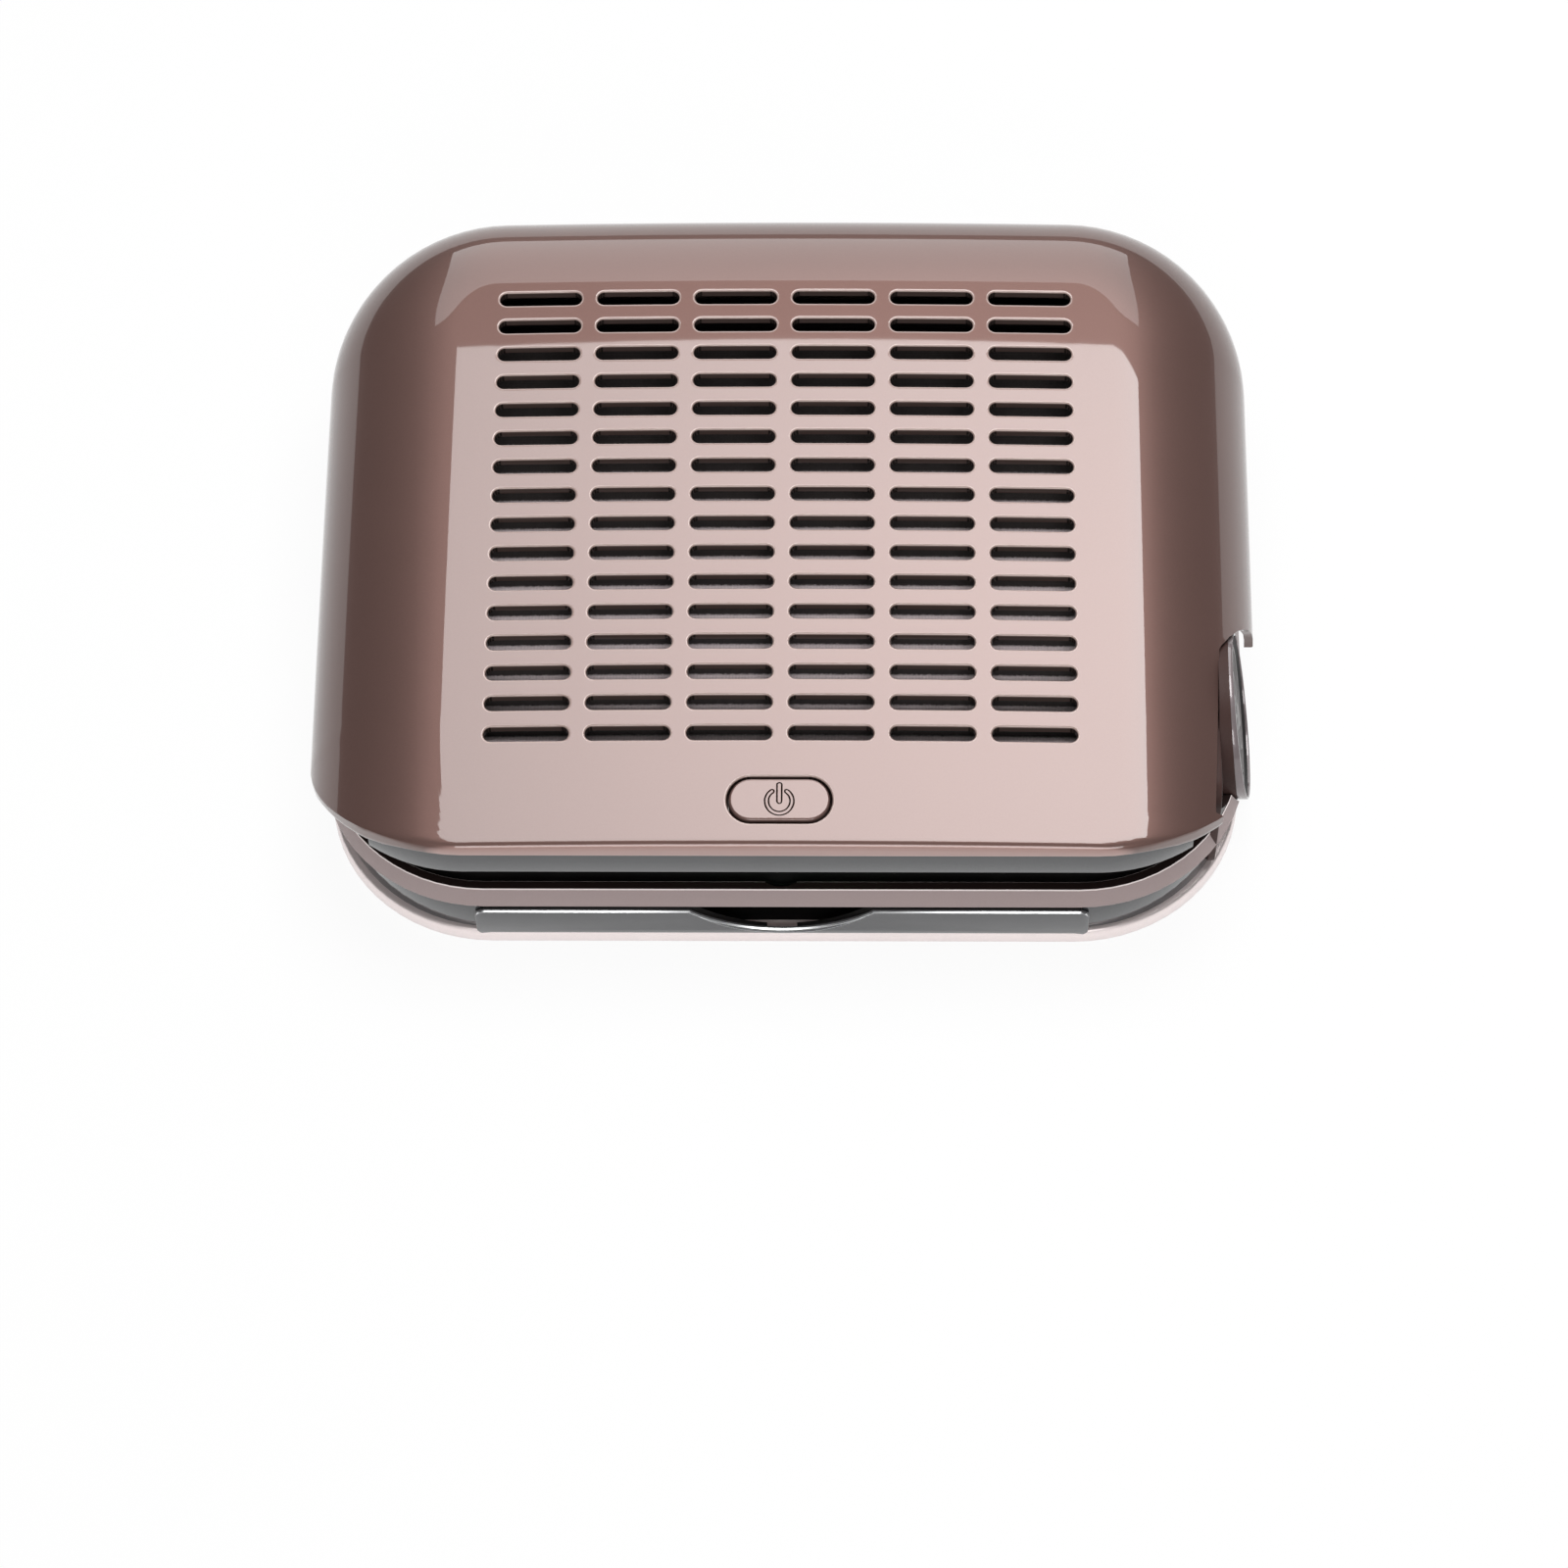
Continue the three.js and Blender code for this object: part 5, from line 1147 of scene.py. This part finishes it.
def highlight_trim_strip(points, across, face, width):
    """A thin bright metal strip along a line on the drawer's face, with tapered ends: partly a real bright edge,
    partly a painted highlight along the glossy black edge.
    """
    rings = []
    for step, ((x, z), (dx, dz)) in enumerate(zip(points, across)):
        taper = min(1, (min(step, len(points) - 1 - step) + 0.4) / 4)
        half = width / 2 * taper
        rings.append([(x + dx * half * share, face + rise, z + dz * half * share)
                      for share, rise in ((1, 0.1), (-1, 0.1), (-0.15, -0.3), (0.15, -0.3))])
    return settle(make_mesh("highlight_trim_strip", *loft(rings)))


def make_drawer_front():
    low, high = (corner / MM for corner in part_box("drawer_front"))
    plan = rounded_plan(-high.x, high.x, low.z, high.z, DRAWER_ROUND, DRAWER_ROUND, 0, 6)
    radius = (NOTCH_HALF ** 2 + NOTCH_DEPTH ** 2) / (2 * NOTCH_DEPTH)
    reach = math.degrees(math.asin(NOTCH_HALF / radius))
    notch = arc((0, high.z - NOTCH_DEPTH + radius), radius, reach - 90, -2 * reach, 32)
    points = np.array(plan[:14] + notch + plan[14:])
    ahead = np.roll(points, -1, axis=0) - points
    ahead /= np.linalg.norm(ahead, axis=1)[:, None]
    normal = np.stack([-ahead[:, 1], ahead[:, 0]], 1)
    inward = normal + np.roll(normal, 1, axis=0)
    inward /= np.linalg.norm(inward, axis=1)[:, None]
    inward /= np.clip((inward * normal).sum(1), 0.5, 1)[:, None]
    rings = []
    face = low.y + DRAWER_SET_IN
    for inset, y in ((0.2, high.y), (0, high.y - 0.15), (0, face + 0.3), (0.09, face + 0.09), (0.3, face)):
        rings.append([(x, y, z) for x, z in points + inward * inset])
    mesh = settle(make_mesh("drawer_front", *loft(rings)), sharp=50)
    place("drawer_panel", mesh, "drawer", ["drawer_front"], drawer_gloss)
    upper, lean = points[8:-8], inward[8:-8]
    highlight_trims = [highlight_trim_strip(upper + lean * 0.4, lean, face, 0.8)]
    wide = (NOTCH_HALF ** 2 + HIGHLIGHT_TRIM_DEPTH ** 2) / (2 * HIGHLIGHT_TRIM_DEPTH)
    sweep = math.asin(HIGHLIGHT_TRIM_HALF / wide)
    angles = np.linspace(sweep, -sweep, 41)
    curve = np.stack([wide * np.sin(angles), high.z - HIGHLIGHT_TRIM_DEPTH + wide - wide * np.cos(angles)], 1)
    toward = np.stack([-np.sin(angles), np.cos(angles)], 1)
    highlight_trims.append(highlight_trim_strip(curve, toward, face, 0.5))
    place("drawer_trim", joined(*highlight_trims), "drawer", material=bright_trim)


for make in (make_cover, make_band, make_button, make_ring, make_plinth, make_plate, make_feet_and_screws,
             make_side_panel, make_vent_rims, make_grille, make_drawer_front):
    make()

KEPT = {
    "drawer_tray": tray_black, "dust_screen": screen_sheet, "filter_media": filter_sheet,
    "control_board": board_green, "motor_stator": copper, "power_lead": rubber,
}
for word in ("filter_frame", "plenum_box", "mid_deck", "blower_scroll", "scroll_cover", "impeller",
             "drawer_rail_left", "drawer_rail_right", "tact_switch", "dc_socket"):
    KEPT[word] = inner_black
for name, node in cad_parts.items():
    finish = KEPT.get(name, steel)
    node.data.materials.clear()
    node.data.materials.append(finish)


# Stage, light and camera

def make_floor():
    floor = Finish("pale_floor", Roughness=0.9, Specular_IOR_Level=0.1)
    floor.feed("Base Color", floor.mixed(floor.noise(40, 3), (0.8, 0.8, 0.8), (0.83, 0.83, 0.83)))
    far = floor.smooth(floor.math("ABSOLUTE", floor.parts(floor.place, 0)[0]), 0.66, 0.76)
    rays = floor.rays()
    share = floor.math("MAXIMUM", rays["Is Camera Ray"] * 0.93, rays["Is Transmission Ray"] * 0.9)
    share = floor.math("MAXIMUM", share, rays["Is Glossy Ray"])
    glow = floor.add("ShaderNodeEmission", {
        "Color": (1, 1, 1, 1), "Strength": 1 - rays["Is Glossy Ray"] * 0.9 * far})
    lit = Value(floor, floor.shader.outputs[0])
    mixed = floor.add("ShaderNodeMixShader", {0: share, 1: lit, 2: glow})
    out = floor.tree.nodes["Material Output"]
    floor.tree.links.new(mixed.socket, out.inputs["Surface"])
    half = 6000
    plane = make_mesh("floor", [(-half, -half, 0), (half, -half, 0), (half, half, 0), (-half, half, 0)],
                      [(0, 1, 2, 3)])
    place("floor", plane, material=floor.material)


def make_world():
    """White where the camera looks, and a dim room where the gloss looks."""
    world = bpy.data.worlds.new("studio")
    world.use_nodes = True
    bpy.context.scene.world = world
    tree = Tree(world.node_tree)
    rays = tree.rays()
    white = tree.math("MAXIMUM", rays["Is Camera Ray"], rays["Is Transmission Ray"])
    level = white + (1 - white) * (0.3 - 0.26 * rays["Is Glossy Ray"])
    background = world.node_tree.nodes["Background"]
    background.inputs["Color"].default_value = (1, 1, 1, 1)
    world.node_tree.links.new(level.socket, background.inputs["Strength"])


def area_light(name, size, radiance, place_mm, tilt=0.0, slope=0.0):
    """A rectangular soft box; its brightness can slope across its width."""
    lamp = bpy.data.lights.new(name, "AREA")
    lamp.shape = "RECTANGLE"
    lamp.size, lamp.size_y = (side * MM for side in size)
    lamp.energy = radiance * math.pi * lamp.size * lamp.size_y
    lamp.use_nodes = True
    tree = Tree(lamp.node_tree)
    across = tree.parts(tree.add("ShaderNodeNewGeometry", output=5), 0)[0]
    level = 1 + slope * (across - 0.5)
    lamp.node_tree.links.new(level.socket, lamp.node_tree.nodes["Emission"].inputs["Strength"])
    holder = bpy.data.objects.new(name, lamp)
    holder.location = tuple(v * MM for v in place_mm)
    holder.rotation_euler = (math.radians(tilt), 0, 0)
    holder.visible_camera = False
    bpy.context.scene.collection.objects.link(holder)
    return holder


def make_lights():
    """A soft box above, a weaker one in front, and a card behind that only the gloss shows."""
    area_light("softbox", (803, 690), 8.2, (118, 222, 1200), slope=0.45)
    area_light("front_fill", (900, 600), 6, (60, -1500, 900), tilt=59)
    area_light("back_card", (1500, 1650), 2.5, (0, 1375, 1000), tilt=-54).visible_diffuse = False


def make_camera():
    """The photograph's view: 60 degrees down, with a small turn and roll."""
    tilt, turn, roll = (math.radians(degrees) for degrees in (60, 2.48, -2.06))
    distance, shift_right, shift_up = 1322.73, 1.99, 46.62
    focal_pixels, frame_pixels, sensor = 4567.74, 1600, 36
    forward = Vector((-math.sin(turn) * math.cos(tilt), math.cos(turn) * math.cos(tilt), -math.sin(tilt)))
    level = Vector((math.cos(turn), math.sin(turn), 0))
    up = level.cross(forward)
    right = math.cos(roll) * level + math.sin(roll) * up
    upward = math.cos(roll) * up - math.sin(roll) * level
    spot = -shift_right * right - shift_up * upward - distance * forward - Vector((-1.1, 1.4, 0))
    camera = bpy.data.cameras.new("camera")
    camera.sensor_width = sensor
    camera.lens = focal_pixels * sensor / frame_pixels
    camera.clip_end = 20
    holder = bpy.data.objects.new("camera", camera)
    holder.matrix_world = Matrix.Translation(spot * MM) @ Matrix((right, upward, -forward)).transposed().to_4x4()
    bpy.context.scene.collection.objects.link(holder)
    bpy.context.scene.camera = holder


make_floor()
make_world()
make_lights()
make_camera()
bpy.context.scene.view_settings.view_transform = "Standard"
